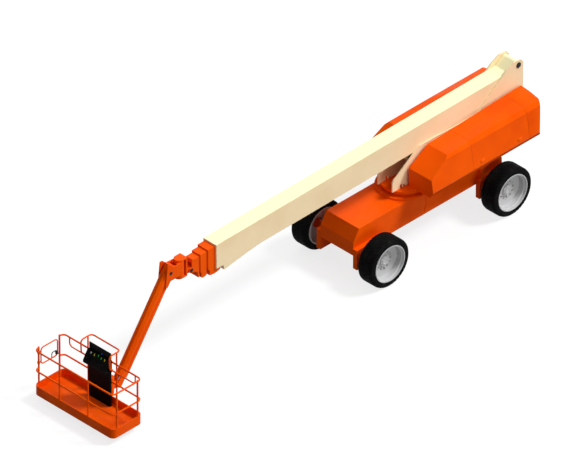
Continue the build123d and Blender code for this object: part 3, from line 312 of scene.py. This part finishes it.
# Nodes whose look isn't their slot's
OWN_LOOKS = {
    "side_plate_left": "cream_plate",
    "side_plate_right": "cream_plate",
    "tray_left": "orange_matt",
    "tray_right": "orange_matt",
}
for row in frame["record"]["subparts"]:
    look = OWN_LOOKS.get(row["node"], row["material_slot"])
    mesh = frame["nodes"][row["node"]].data
    mesh.materials.clear()
    mesh.materials.append(MATERIALS[look])


# Shapes of the small parts
SHARP = math.radians(35)  # edges that bend more stay sharp


def turned(shape, profile, centre, axis, segments=24):
    """Adds a turned solid from rows of radius and place along; a ring if its last row is its first."""
    turn = Vector(axis).to_track_quat("Z", "Y")
    rings = []
    closed = profile[0] == profile[-1]
    for radius, along in profile[:-1] if closed else profile:
        ring = []
        for i in range(segments if radius > 0.0 else 1):
            angle = math.tau * (i + 0.5) / segments
            spot = Vector((radius * math.cos(angle), radius * math.sin(angle), along))
            ring.append(shape.verts.new(Vector(centre) + turn @ spot))
        rings.append(ring)
    if closed:
        rings.append(rings[0])
    for low, high in zip(rings, rings[1:]):
        for i in range(segments):
            j = (i + 1) % segments
            corners = (low[i % len(low)], low[j % len(low)], high[j % len(high)], high[i % len(high)])
            once = list(dict.fromkeys(corners))
            if len(once) > 2:
                shape.faces.new(once)


def brick(shape, low, high, edge):
    """Adds a box with its edges rounded."""
    low = Vector(low)
    high = Vector(high)
    made = bmesh.ops.create_cube(shape, size=1.0)["verts"]
    for vert in made:
        vert.co = (low + high) / 2 + Vector(a * b for a, b in zip(vert.co, high - low))
    edges = list({e for v in made for e in v.link_edges})
    bmesh.ops.bevel(shape, geom=edges, offset=edge, segments=2, profile=0.5, affect="EDGES")


def pipe(shape, points, radius, sides=10):
    """Adds a round bar along points, closed at both ends."""
    points = [Vector(p) for p in points]
    angles = [math.tau * k / sides for k in range(sides)]
    rings = []
    side = None
    for i, point in enumerate(points):
        ahead = (points[min(i + 1, len(points) - 1)] - points[max(i - 1, 0)]).normalized()
        side = (side - ahead * side.dot(ahead)).normalized() if side else ahead.orthogonal().normalized()
        across = ahead.cross(side)
        rings.append([
            shape.verts.new(point + radius * (side * math.cos(a) + across * math.sin(a))) for a in angles])
    for low, high in zip(rings, rings[1:]):
        for i in range(sides):
            j = (i + 1) % sides
            shape.faces.new((low[i], low[j], high[j], high[i]))
    shape.faces.new(rings[0][::-1])
    shape.faces.new(rings[-1])


def bolt(shape, place, axis, size):
    """Adds a hexagon bolt head on a washer; size is the head's radius."""
    washer_r = 1.35 * size
    washer = 0.2 * size
    head = 0.9 * size
    disc = ((0, 0), (washer_r, 0), (washer_r, washer), (0, washer))
    hexagon = ((0, washer), (size, washer), (size, 0.75 * size), (0.85 * size, head), (0, head))
    turned(shape, disc, place, axis, segments=16)
    turned(shape, hexagon, place, axis, segments=6)


def pin_end(shape, place, out, radius, proud):
    """Adds a pin's chamfered end with a nipple and two screws, and a collar where it stands proud."""
    x, y, z = place
    axis = (0, out, 0)
    face = 0.008
    nipple = 0.016
    collar_r = 1.4 * radius
    chamfer = 0.003
    turned(shape, (
        (0, 0), (radius, 0), (radius, face / 2), (0.85 * radius, face), (0.2 * radius, face),
        (0.15 * radius, nipple), (0, nipple)), place, axis)
    turned(shape, (
        (radius, -proud), (collar_r, -proud), (collar_r, -chamfer), (1.3 * radius, 0), (radius, 0),
        (radius, -proud)), place, axis)
    for side in (-1, 1):
        bolt(shape, (x + side * 0.55 * radius, y + out * face, z), axis, 0.1 * radius + 0.002)


def circle(count, radius, turn=0.0):
    """Pairs of coordinates round a circle, turned by a share of the pitch."""
    angles = [math.tau * (k + turn) / count for k in range(count)]
    return [(radius * math.cos(a), radius * math.sin(a)) for a in angles]


def piece(name, shape, body, slot, look=None):
    """Makes a piece that rides on a body and takes a slot's finish, or another look."""
    bmesh.ops.recalc_face_normals(shape, faces=shape.faces)
    mesh = bpy.data.meshes.new(name)
    shape.to_mesh(mesh)
    shape.free()
    mesh.materials.append(MATERIALS[look or slot])
    mesh.shade_smooth()
    mesh.set_sharp_from_angle(angle=SHARP)
    made = bpy.data.objects.new(name, mesh)
    bpy.context.scene.collection.objects.link(made)
    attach(made, body)
    return made


def set_in(shape, part, matrix):
    """Adds a small shape that was made at the origin, moved by a matrix."""
    part.transform(matrix)
    mesh = bpy.data.meshes.new("part")
    part.to_mesh(mesh)
    part.free()
    shape.from_mesh(mesh)
    bpy.data.meshes.remove(mesh)


def facing(place, out, along):
    """Matrix that puts Z outward and X along a direction, at a place."""
    out = Vector(out).normalized()
    across = out.cross(Vector(along)).normalized()
    made = Matrix((across.cross(out), across, out)).transposed().to_4x4()
    made.translation = Vector(place)
    return made


def box_of(node):
    """A node's lowest corner, highest corner and middle."""
    low, high = (Vector(c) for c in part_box(node))
    return low, high, (low + high) / 2


def pivot(joint):
    """A joint's place at rest."""
    return Vector(JOINTS[joint]["pos_m"])


# Tyres: two rings on each sidewall and shallow lugs
LUGS = 38  # on each side of the middle
LUG_PITCH = math.tau / LUGS
LUG_ROWS = (
    # place across, radius of the top, share of the pitch
    (0.006, 0.595, 0.90),
    (0.055, 0.595, 0.90),
    (0.110, 0.595, 0.88),
    (0.160, 0.595, 0.86),
    (0.190, 0.587, 0.84),
    (0.212, 0.565, 0.80),
)
LUG_DEPTH = 0.02
LUG_SWEEP = 1.1  # turn of a lug per metre of width, in radians
LUG_STEPS = 3  # faces round a lug's top
SIDEWALL = (
    # radius, place across
    (0.4505, 0.2050),
    (0.4605, 0.2155),
    (0.4720, 0.2190),
    (0.4800, 0.2190),
    (0.4830, 0.2165),
    (0.5100, 0.2165),
    (0.5130, 0.2190),
    (0.5190, 0.2190),
    (0.5220, 0.2160),
    (0.5485, 0.2105),
    (0.5610, 0.2050),
    (0.5800, 0.1860),
    (0.5870, 0.1600),
)
TYRE_SEGMENTS = 96


def lug(shape, middle, start, out):
    """Adds a swept lug, closed all round, on one side of a tyre's middle."""
    tops = []
    roots = []
    for y, top, share in LUG_ROWS:
        middle_angle = start + LUG_SWEEP * y
        shares = [i / LUG_STEPS - 0.5 for i in range(LUG_STEPS + 1)]
        angles = [middle_angle + LUG_PITCH * share * s for s in shares]
        for rows, radius in ((tops, top), (roots, top - LUG_DEPTH)):
            spots = [Vector((radius * math.cos(a), out * y, radius * math.sin(a))) for a in angles]
            rows.append([shape.verts.new(middle + spot) for spot in spots])
    for grid in (tops, roots):
        for low, high in zip(grid, grid[1:]):
            for i in range(LUG_STEPS):
                shape.faces.new((low[i], low[i + 1], high[i + 1], high[i]))
    rim = list(zip(tops[0], roots[0]))
    rim += [(a[-1], b[-1]) for a, b in zip(tops[1:], roots[1:])]
    rim += list(zip(tops[-1][-2::-1], roots[-1][-2::-1]))
    rim += [(a[0], b[0]) for a, b in zip(tops[-2:0:-1], roots[-2:0:-1])]
    for (a, b), (c, d) in zip(rim, rim[1:] + rim[:1]):
        shape.faces.new((a, b, d, c))


def tyre_shape(middle, out):
    """Tyre whose lugs on one side lie half a pitch from those on the other."""
    shape = bmesh.new()
    near = list(SIDEWALL)
    far = [(radius, -y) for radius, y in reversed(near)]
    turned(shape, near + far + near[:1], middle, (0, 1, 0), TYRE_SEGMENTS)
    for side in (-1, 1):
        for k in range(LUGS):
            lug(shape, middle, LUG_PITCH * (k + 0.25 * side), side * out)
    return shape


# Wheels: nuts on studs, hub bolts and a valve; a seat is a face's distance outward of the rim's middle
NUTS = 12
NUT_CIRCLE = 0.2
NUT_SEAT = 0.0205
NUT_SIZE = 0.021
STUD = ((0, 0), (0.011, 0), (0.011, 0.034), (0.008, 0.037), (0, 0.037))
HUB_BOLTS = 8
HUB_CIRCLE = 0.105
HUB_SEAT = 0.06
HUB_BOLT_SIZE = 0.010
VALVE_R = 0.345
VALVE_SEAT = 0.027
VALVE = (
    (0, 0), (0.02, 0), (0.02, 0.006), (0.009, 0.008), (0.009, 0.035), (0.006, 0.037), (0.006, 0.06),
    (0.009, 0.061), (0.009, 0.078), (0, 0.08))

# Kingpins' caps
KINGPIN_CAP = (
    (0, 0), (0.05, 0), (0.05, 0.010), (0.044, 0.014), (0.008, 0.014), (0.006, 0.028), (0, 0.03))
CAP_FACE = 0.014
CAP_BOLTS = 3
CAP_CIRCLE = 0.036
CAP_BOLT_SIZE = 0.006

for wheel in ("front_left", "front_right", "rear_left", "rear_right"):
    _, _, middle = box_of(f"{wheel}_rim")
    out = math.copysign(1.0, middle.y)
    axis = (0, out, 0)
    tyre = piece(f"{wheel}_tread", tyre_shape(middle, out), f"{wheel}_wheel", "tyre")
    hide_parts(f"{wheel}_tyre")
    fittings = bmesh.new()
    for x, z in circle(NUTS, NUT_CIRCLE):
        spot = middle + Vector((x, out * NUT_SEAT, z))
        bolt(fittings, spot, axis, NUT_SIZE)
        turned(fittings, STUD, spot, axis, segments=12)
    for x, z in circle(HUB_BOLTS, HUB_CIRCLE, 0.5):
        bolt(fittings, middle + Vector((x, out * HUB_SEAT, z)), axis, HUB_BOLT_SIZE)
    turned(fittings, VALVE, middle + Vector((VALVE_R, out * VALVE_SEAT, 0.0)), axis, segments=12)
    piece(f"{wheel}_nuts", fittings, f"{wheel}_wheel", "bright_steel", "zinc")
    low, high, _ = box_of(f"{wheel}_knuckle")
    kingpin = pivot(f"{wheel}_steer")
    caps = bmesh.new()
    for face, up in ((high.z, 1), (low.z, -1)):
        turned(caps, KINGPIN_CAP, (kingpin.x, kingpin.y, face), (0, 0, up))
        for x, y in circle(CAP_BOLTS, CAP_CIRCLE):
            spot = (kingpin.x + x, kingpin.y + y, face + up * CAP_FACE)
            bolt(caps, spot, (0, 0, up), CAP_BOLT_SIZE)
    piece(f"{wheel}_kingpin_caps", caps, f"{wheel}_knuckle", "bright_steel", "zinc")

# Slewing ring's bolts
RING_BOLTS = 40
RING_CIRCLE = 0.59
RING_BOLT_SIZE = 0.016
_, high, middle = box_of("slew_ring")
ring_bolts = bmesh.new()
for x, y in circle(RING_BOLTS, RING_CIRCLE):
    bolt(ring_bolts, (middle.x + x, y, high.z), (0, 0, 1), RING_BOLT_SIZE)
piece("slew_bolts", ring_bolts, "chassis", "orange_paint")

# Pins' ends
LIFT_FOOT = pivot("barrel_pivot")
LIFT_AHEAD = Vector(JOINTS["rod_slide"]["axis"])
LIFT_CLOSED = 2.6613  # between the lift cylinder's pins at rest
PINS = (
    # name, body, middle, half length, radius, length outside its seat
    ("boom_pivot_ends", "turntable", pivot("boom_lift"), 0.251, 0.050, 0.0148),
    ("tip_pin_ends", "tip_bracket", pivot("tip_level"), 0.118, 0.035, 0.0095),
    ("jib_pin_ends", "jib_rotator", pivot("jib_lift"), 0.136, 0.030, 0.0098),
    ("lift_foot_pin_ends", "turntable", LIFT_FOOT, 0.1005, 0.040, 0.0098),
    ("lift_head_pin_ends", "base_boom", LIFT_FOOT + LIFT_AHEAD * LIFT_CLOSED, 0.1005, 0.040, 0.0098),
)
for name, body, middle, half_length, radius, proud in PINS:
    ends = bmesh.new()
    for out in (-1, 1):
        pin_end(ends, (middle.x, out * half_length, middle.z), out, radius, proud)
    piece(name, ends, body, "dark_paint")

# Latches on the hood doors' leaning sides
DOOR_LEAN = Vector((0.0, 0.613, 0.105))  # outward direction of the left door's side
DOOR_LATCH_UP = 0.114  # over the door's lower edge
DOOR_LATCH_IN = 0.017  # inward of the door's widest place
DOOR_LATCH_SHARES = (0.18, 0.82)  # of the door's length
LATCH_BRICKS = (
    # lowest corner, highest corner, rounding
    ((-0.065, -0.042, -0.002), (0.065, 0.042, 0.005), 0.003),  # plate
    ((-0.050, -0.030, 0.003), (0.050, 0.006, 0.014), 0.005),  # paddle
)
LATCH_LOCK = (
    (0, 0.004), (0.013, 0.004), (0.013, 0.009), (0.010, 0.011), (0.004, 0.011), (0.003, 0.008), (0, 0.008))
LATCH_LOCK_AT = (0.0, 0.024, 0.0)


def door_latch():
    """Rounded plate with a paddle and a lock."""
    part = bmesh.new()
    for low_corner, high_corner, edge in LATCH_BRICKS:
        brick(part, low_corner, high_corner, edge)
    turned(part, LATCH_LOCK, LATCH_LOCK_AT, (0, 0, 1), segments=16)
    return part


for side, out in (("left", 1), ("right", -1)):
    low, high, _ = box_of(f"hood_door_{side}")
    reach = max(high.y, -low.y)
    normal = (0.0, out * DOOR_LEAN.y, DOOR_LEAN.z)
    latches = bmesh.new()
    for share in DOOR_LATCH_SHARES:
        x = low.x + share * (high.x - low.x)
        spot = (x, out * (reach - DOOR_LATCH_IN), low.z + DOOR_LATCH_UP)
        set_in(latches, door_latch(), facing(spot, normal, (-out, 0, 0)))
    piece(f"door_latches_{side}", latches, f"{side}_door", "orange_cover")

# Lift cylinder: a gland and two ports with their fittings, at lengths from its foot's pin
LIFT_UP = LIFT_AHEAD.cross(Vector((0, 1, 0)))
GLAND_AT = 2.09
GLAND = (
    (0.1, 0), (0.108, 0.004), (0.108, 0.03), (0.104, 0.034), (0.104, 0.04), (0.108, 0.044), (0.108, 0.075),
    (0.1, 0.08), (0.1, 0))
PORTS_AT = (0.26, 1.98)
PORT_SEAT = 0.099  # just inside the barrel's skin
PORT_LOW = (-0.05, -0.03, -0.01)
PORT_HIGH = (0.05, 0.03, 0.035)
PORT_EDGE = 0.005
PORT_FITTING = (
    (0, 0.035), (0.014, 0.035), (0.014, 0.05), (0.018, 0.05), (0.018, 0.064), (0.01, 0.066), (0, 0.066))
PORT_FITTINGS_X = (-0.022, 0.022)
fittings = bmesh.new()
turned(fittings, GLAND, LIFT_FOOT + LIFT_AHEAD * GLAND_AT, LIFT_AHEAD, segments=48)
for along in PORTS_AT:
    port = bmesh.new()
    brick(port, PORT_LOW, PORT_HIGH, PORT_EDGE)
    for x in PORT_FITTINGS_X:
        turned(port, PORT_FITTING, (x, 0.0, 0.0), (0, 0, 1), segments=6)
    spot = LIFT_FOOT + LIFT_AHEAD * along + LIFT_UP * PORT_SEAT
    set_in(fittings, port, facing(spot, LIFT_UP, LIFT_AHEAD))
piece("cylinder_fittings", fittings, "lift_barrel", "dark_paint")

# Engine in its bay; a place is a share of its length, a share of its width and a height over its floor
ENGINE_BLOCKS = (
    # lowest corner, highest corner, rounding
    ((0.16, 0.22, 0.00), (0.72, 0.78, 0.10), 0.020),  # sump
    ((0.12, 0.14, 0.09), (0.80, 0.86, 0.34), 0.012),  # block
    ((0.12, 0.20, 0.34), (0.80, 0.80, 0.44), 0.008),  # head
    ((0.15, 0.28, 0.44), (0.77, 0.72, 0.53), 0.025),  # valve cover
    ((0.38, 0.86, 0.18), (0.54, 0.97, 0.30), 0.008),  # injection pump
)
RIBS = 6
RIB_FROM = 0.18
RIB_PITCH = 0.1
RIB_W = 0.035
RIB_Y = (0.115, 0.885)
RIB_Z = (0.12, 0.32)
RIB_EDGE = 0.006
COVER_TOP = 0.53
COVER_BOLT_AT = 0.018  # from a rib's start
COVER_BOLT_SIZE = 0.011
FLYWHEEL_AT = (0.02, 0.5, 0.22)
FLYWHEEL = ((0, 0), (0.2, 0), (0.2, 0.05), (0.17, 0.09), (0, 0.09))
PULLEY_X = 0.84
PULLEYS = (
    # radius, share of the width, height
    (0.085, 0.50, 0.16),
    (0.065, 0.50, 0.36),
    (0.040, 0.82, 0.38),
)
ALTERNATOR_AT = (0.68, 0.82, 0.38)
ALTERNATOR = ((0, 0), (0.06, 0), (0.066, 0.01), (0.066, 0.12), (0.05, 0.13), (0, 0.13))
MANIFOLD_Y = 0.10
MANIFOLD_Z = 0.39
MANIFOLD_X = (0.16, 0.4, 0.6, 0.76)
MANIFOLD_R = 0.032
RUNNERS = 4
RUNNER_FROM = 0.22
RUNNER_PITCH = 0.15
RUNNER_END_Y = 0.24
RUNNER_R = 0.024
PUMP_X = 0.45
FUEL_PIPE_ROUTE = (
    # share of the width, height
    (0.90, 0.25),
    (0.92, 0.36),
    (0.86, 0.46),
    (0.74, 0.49),
)
FUEL_PIPE_FAN = 0.3  # share of their spread that the fuel pipes have at their first bend
FUEL_PIPE_R = 0.005
FILTERS_X = (0.28, 0.62)
FILTERS_Y = 0.88
FILTERS_Z = 0.08
FILTER = (
    (0, 0), (0.045, 0.004), (0.048, 0.02), (0.048, 0.13), (0.052, 0.135), (0.052, 0.15), (0, 0.15))
engine_low, engine_high, _ = box_of("engine")


def bay(x, y, z):
    """Place in the engine's box."""
    length = engine_high.x - engine_low.x
    width = engine_high.y - engine_low.y
    return engine_low + Vector((x * length, y * width, z))


def pulley(radius):
    """Profile of a pulley with one groove and a hub."""
    waist = 0.9 * radius
    return (
        (0, 0), (radius, 0), (radius, 0.008), (waist, 0.014), (waist, 0.026), (radius, 0.032),
        (radius, 0.04), (0.5 * radius, 0.04), (0.4 * radius, 0.06), (0, 0.06))


motor = bmesh.new()
for low, high, edge in ENGINE_BLOCKS:
    brick(motor, bay(*low), bay(*high), edge)
for k in range(RIBS):
    x = RIB_FROM + RIB_PITCH * k
    brick(motor, bay(x, RIB_Y[0], RIB_Z[0]), bay(x + RIB_W, RIB_Y[1], RIB_Z[1]), RIB_EDGE)
    bolt(motor, bay(x + COVER_BOLT_AT, 0.5, COVER_TOP), (0, 0, 1), COVER_BOLT_SIZE)
turned(motor, FLYWHEEL, bay(*FLYWHEEL_AT), (1, 0, 0), segments=32)
for radius, y, z in PULLEYS:
    turned(motor, pulley(radius), bay(PULLEY_X, y, z), (1, 0, 0), segments=28)
turned(motor, ALTERNATOR, bay(*ALTERNATOR_AT), (1, 0, 0))
pipe(motor, [bay(x, MANIFOLD_Y, MANIFOLD_Z) for x in MANIFOLD_X], MANIFOLD_R, sides=14)
for k in range(RUNNERS):
    x = RUNNER_FROM + RUNNER_PITCH * k
    bend_x = PUMP_X + FUEL_PIPE_FAN * (x - PUMP_X)
    pipe(motor, [bay(x, y, MANIFOLD_Z) for y in (RUNNER_END_Y, MANIFOLD_Y)], RUNNER_R, sides=12)
    route = [bay(at, y, z) for at, (y, z) in zip((PUMP_X, bend_x, x, x), FUEL_PIPE_ROUTE)]
    pipe(motor, route, FUEL_PIPE_R, sides=8)
for x in FILTERS_X:
    turned(motor, FILTER, bay(x, FILTERS_Y, FILTERS_Z), (0, 0, 1), segments=20)
engine = piece("engine_dressed", motor, "turntable", "engine_grey")
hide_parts("engine")

# Console: coloured caps, levers and switches on its slope
console_low, console_high, _ = box_of("console")
SLOPE_DEPTH = 0.14
SLOPE_FOOT_DOWN = 0.4  # under the console's top
SLOPE_HEAD_DOWN = 0.17
SLOPE_FOOT = Vector((console_high.x, 0.0, console_high.z - SLOPE_FOOT_DOWN))
SLOPE_HEAD = Vector((console_high.x - SLOPE_DEPTH, 0.0, console_high.z - SLOPE_HEAD_DOWN))
SLOPE_OUT = Vector((0, 1, 0)).cross(SLOPE_HEAD - SLOPE_FOOT)
SWITCHES = (
    # look, place across, share up the slope
    ("white_cap", -0.168, 0.857),
    ("yellow_cap", -0.063, 0.833),
    ("green_cap", 0.050, 0.930),
    ("green_cap", 0.143, 0.840),
    ("yellow_cap", 0.248, 0.848),
)
SWITCH_BRICKS = (
    # lowest corner, highest corner, rounding
    ((-0.011, -0.024, -0.002), (0.011, 0.024, 0.010), 0.003),  # body
    ((-0.009, 0.002, 0.006), (0.009, 0.022, 0.015), 0.003),  # raised half
)
BEZEL_LOW = (-0.016, -0.030, -0.003)
BEZEL_HIGH = (0.016, 0.030, 0.004)
BEZEL_EDGE = 0.002
BACK_PLATE = 0.02  # thickness of the console's back plate, which carries the lamp
LAMP_Y = 0.103
LAMP_DOWN = 0.1293
LAMP_AT = (console_low.x + BACK_PLATE, LAMP_Y, console_high.z - LAMP_DOWN)
LAMP = (
    (0, -0.002), (0.02, -0.002), (0.02, 0.005), (0.016, 0.007), (0.016, 0.014), (0.010, 0.020), (0, 0.022))
LEVERS_Y = (-0.17, 0.25)
LEVERS_SHARE = 0.34
LEVER = (
    (0, -0.002), (0.042, -0.002), (0.042, 0.004), (0.036, 0.014), (0.026, 0.018), (0.030, 0.026),
    (0.018, 0.034), (0.009, 0.038), (0.009, 0.07), (0.016, 0.078), (0.019, 0.10), (0.016, 0.122),
    (0.006, 0.13), (0, 0.13))
TOGGLES = 6
TOGGLES_FROM = -0.09
TOGGLES_PITCH = 0.05
TOGGLES_SHARE = 0.5
TOGGLE = (
    (0, -0.002), (0.011, -0.002), (0.011, 0.006), (0.008, 0.008), (0.003, 0.009), (0.0035, 0.028),
    (0.002, 0.031), (0, 0.031))


def on_slope(y, share):
    """Matrix at a place on the console's slope."""
    spot = SLOPE_FOOT.lerp(SLOPE_HEAD, share)
    return facing((spot.x, y, spot.z), SLOPE_OUT, (0, 1, 0))


def slope_knob(shape, profile, y, share, segments):
    """Adds a turned knob that stands on the console's slope."""
    part = bmesh.new()
    turned(part, profile, (0, 0, 0), (0, 0, 1), segments)
    set_in(shape, part, on_slope(y, share))


for i, (look, y, share) in enumerate(SWITCHES):
    switch = bmesh.new()
    rocker = bmesh.new()
    for low_corner, high_corner, edge in SWITCH_BRICKS:
        brick(rocker, low_corner, high_corner, edge)
    set_in(switch, rocker, on_slope(y, share))
    piece(f"console_switch_{i}", switch, "platform", "black_plastic", look)
lamp = bmesh.new()
turned(lamp, LAMP, LAMP_AT, (1, 0, 0))
piece("console_lamp", lamp, "platform", "black_plastic", "blue_cap")
levers = bmesh.new()
for y in LEVERS_Y:
    slope_knob(levers, LEVER, y, LEVERS_SHARE, segments=24)
for k in range(TOGGLES):
    slope_knob(levers, TOGGLE, TOGGLES_FROM + TOGGLES_PITCH * k, TOGGLES_SHARE, segments=12)
for _, y, share in SWITCHES:
    bezel = bmesh.new()
    brick(bezel, BEZEL_LOW, BEZEL_HIGH, BEZEL_EDGE)
    set_in(levers, bezel, on_slope(y, share))
piece("console_levers", levers, "platform", "black_plastic")

# Gate's latch: a bent bar on its lower rail and a catch near one end of it
GATE_RAIL_R = 0.015
GATE_LATCH_FROM = 0.045
GATE_LATCH_TO = 0.19
GATE_LATCH_H = 0.14
GATE_LATCH_R = 0.011
GATE_LATCH_BEND = 0.03
GATE_LATCH_CUT = 0.01  # place of the bend's middle
CATCH_FROM = 0.035
CATCH_TO = 0.115
CATCH_EDGE = 0.005
CATCH_HALF_L = 0.022
CATCH_HALF_W = 0.026
CATCH_PIN = (
    (0, -0.04), (0.009, -0.04), (0.009, 0.03), (0.016, 0.032), (0.018, 0.044), (0.012, 0.054), (0, 0.056))
low, _, middle = box_of("gate")
foot = low.z + GATE_RAIL_R
start = low.x + GATE_LATCH_FROM
end = low.x + GATE_LATCH_TO
top = foot + GATE_LATCH_H
path = (
    (start, foot),
    (start, top - GATE_LATCH_BEND),
    (start + GATE_LATCH_CUT, top - GATE_LATCH_CUT),
    (start + GATE_LATCH_BEND, top),
    (end - GATE_LATCH_BEND, top),
    (end - GATE_LATCH_CUT, top - GATE_LATCH_CUT),
    (end, top - GATE_LATCH_BEND),
    (end, foot),
)
latch = bmesh.new()
pipe(latch, [(x, middle.y, z) for x, z in path], GATE_LATCH_R)
brick(
    latch, (start - CATCH_HALF_L, middle.y - CATCH_HALF_W, foot + CATCH_FROM),
    (start + CATCH_HALF_L, middle.y + CATCH_HALF_W, foot + CATCH_TO), CATCH_EDGE)
pin_z = foot + (CATCH_FROM + CATCH_TO) / 2
turned(latch, CATCH_PIN, (start, middle.y, pin_z), (0, 1, 0), segments=16)
piece("gate_latch", latch, "gate", "dark_paint")


# Stage: floor, sky, lamps and camera
def seen_rays(tree):
    """1 for rays from the camera, a mirror or a glass, else 0."""
    rays = tree.nodes.new("ShaderNodeLightPath")
    total = rays.outputs["Is Camera Ray"]
    for name in ("Is Glossy Ray", "Is Transmission Ray"):
        most = tree.nodes.new("ShaderNodeMath")
        most.operation = "MAXIMUM"
        tree.links.new(total, most.inputs[0])
        tree.links.new(rays.outputs[name], most.inputs[1])
        total = most.outputs[0]
    return total


def pale_floor():
    """Pale floor that glows a little to the camera, so that it is white and keeps a soft shadow."""
    g = Graph("pale_floor")
    glow = g.math("MULTIPLY", seen_rays(g.tree), FLOOR_GLOW)
    return g.finish(
        Base_Color=FLOOR_GREY, Roughness=0.9, Specular_IOR_Level=0.0, Emission_Color=WHITE,
        Emission_Strength=glow)


floor_mesh = bpy.data.meshes.new("floor")
floor_corners = [
    (x * FLOOR_REACH, y * FLOOR_REACH, 0.0) for x, y in ((-1, -1), (1, -1), (1, 1), (-1, 1))]
floor_mesh.from_pydata(floor_corners, [], [(0, 1, 2, 3)])
floor_mesh.materials.append(pale_floor())
floor = bpy.data.objects.new("floor", floor_mesh)
bpy.context.scene.collection.objects.link(floor)

world = bpy.data.worlds.new("studio")
bpy.context.scene.world = world
world.use_nodes = True
sky = world.node_tree.nodes["Background"]
sky.inputs["Color"].default_value = (*WHITE, 1.0)
level = world.node_tree.nodes.new("ShaderNodeMapRange")
world.node_tree.links.new(seen_rays(world.node_tree), level.inputs["Value"])
level.inputs["To Min"].default_value = SKY
level.inputs["To Max"].default_value = 1.0
world.node_tree.links.new(level.outputs["Result"], sky.inputs["Strength"])

for name, toward, strength, width in LAMPS:
    sun = bpy.data.lights.new(name, "SUN")
    sun.energy = strength
    sun.angle = math.radians(width)
    made = bpy.data.objects.new(name, sun)
    made.rotation_mode = "QUATERNION"
    made.rotation_quaternion = Vector(toward).to_track_quat("Z", "Y")
    bpy.context.scene.collection.objects.link(made)

camera = bpy.data.objects.new("camera", bpy.data.cameras.new("camera"))
bpy.context.scene.collection.objects.link(camera)
distance = VIEW_W * LENS / SENSOR
camera.data.lens = LENS
camera.data.sensor_width = SENSOR
camera.data.clip_start = 1.0
camera.data.clip_end = distance * 3
camera.location = TARGET + VIEW_FROM * distance
camera.rotation_mode = "QUATERNION"
camera.rotation_quaternion = VIEW_FROM.to_track_quat("Z", "Y")
bpy.context.scene.camera = camera
bpy.context.scene.view_settings.view_transform = "Standard"
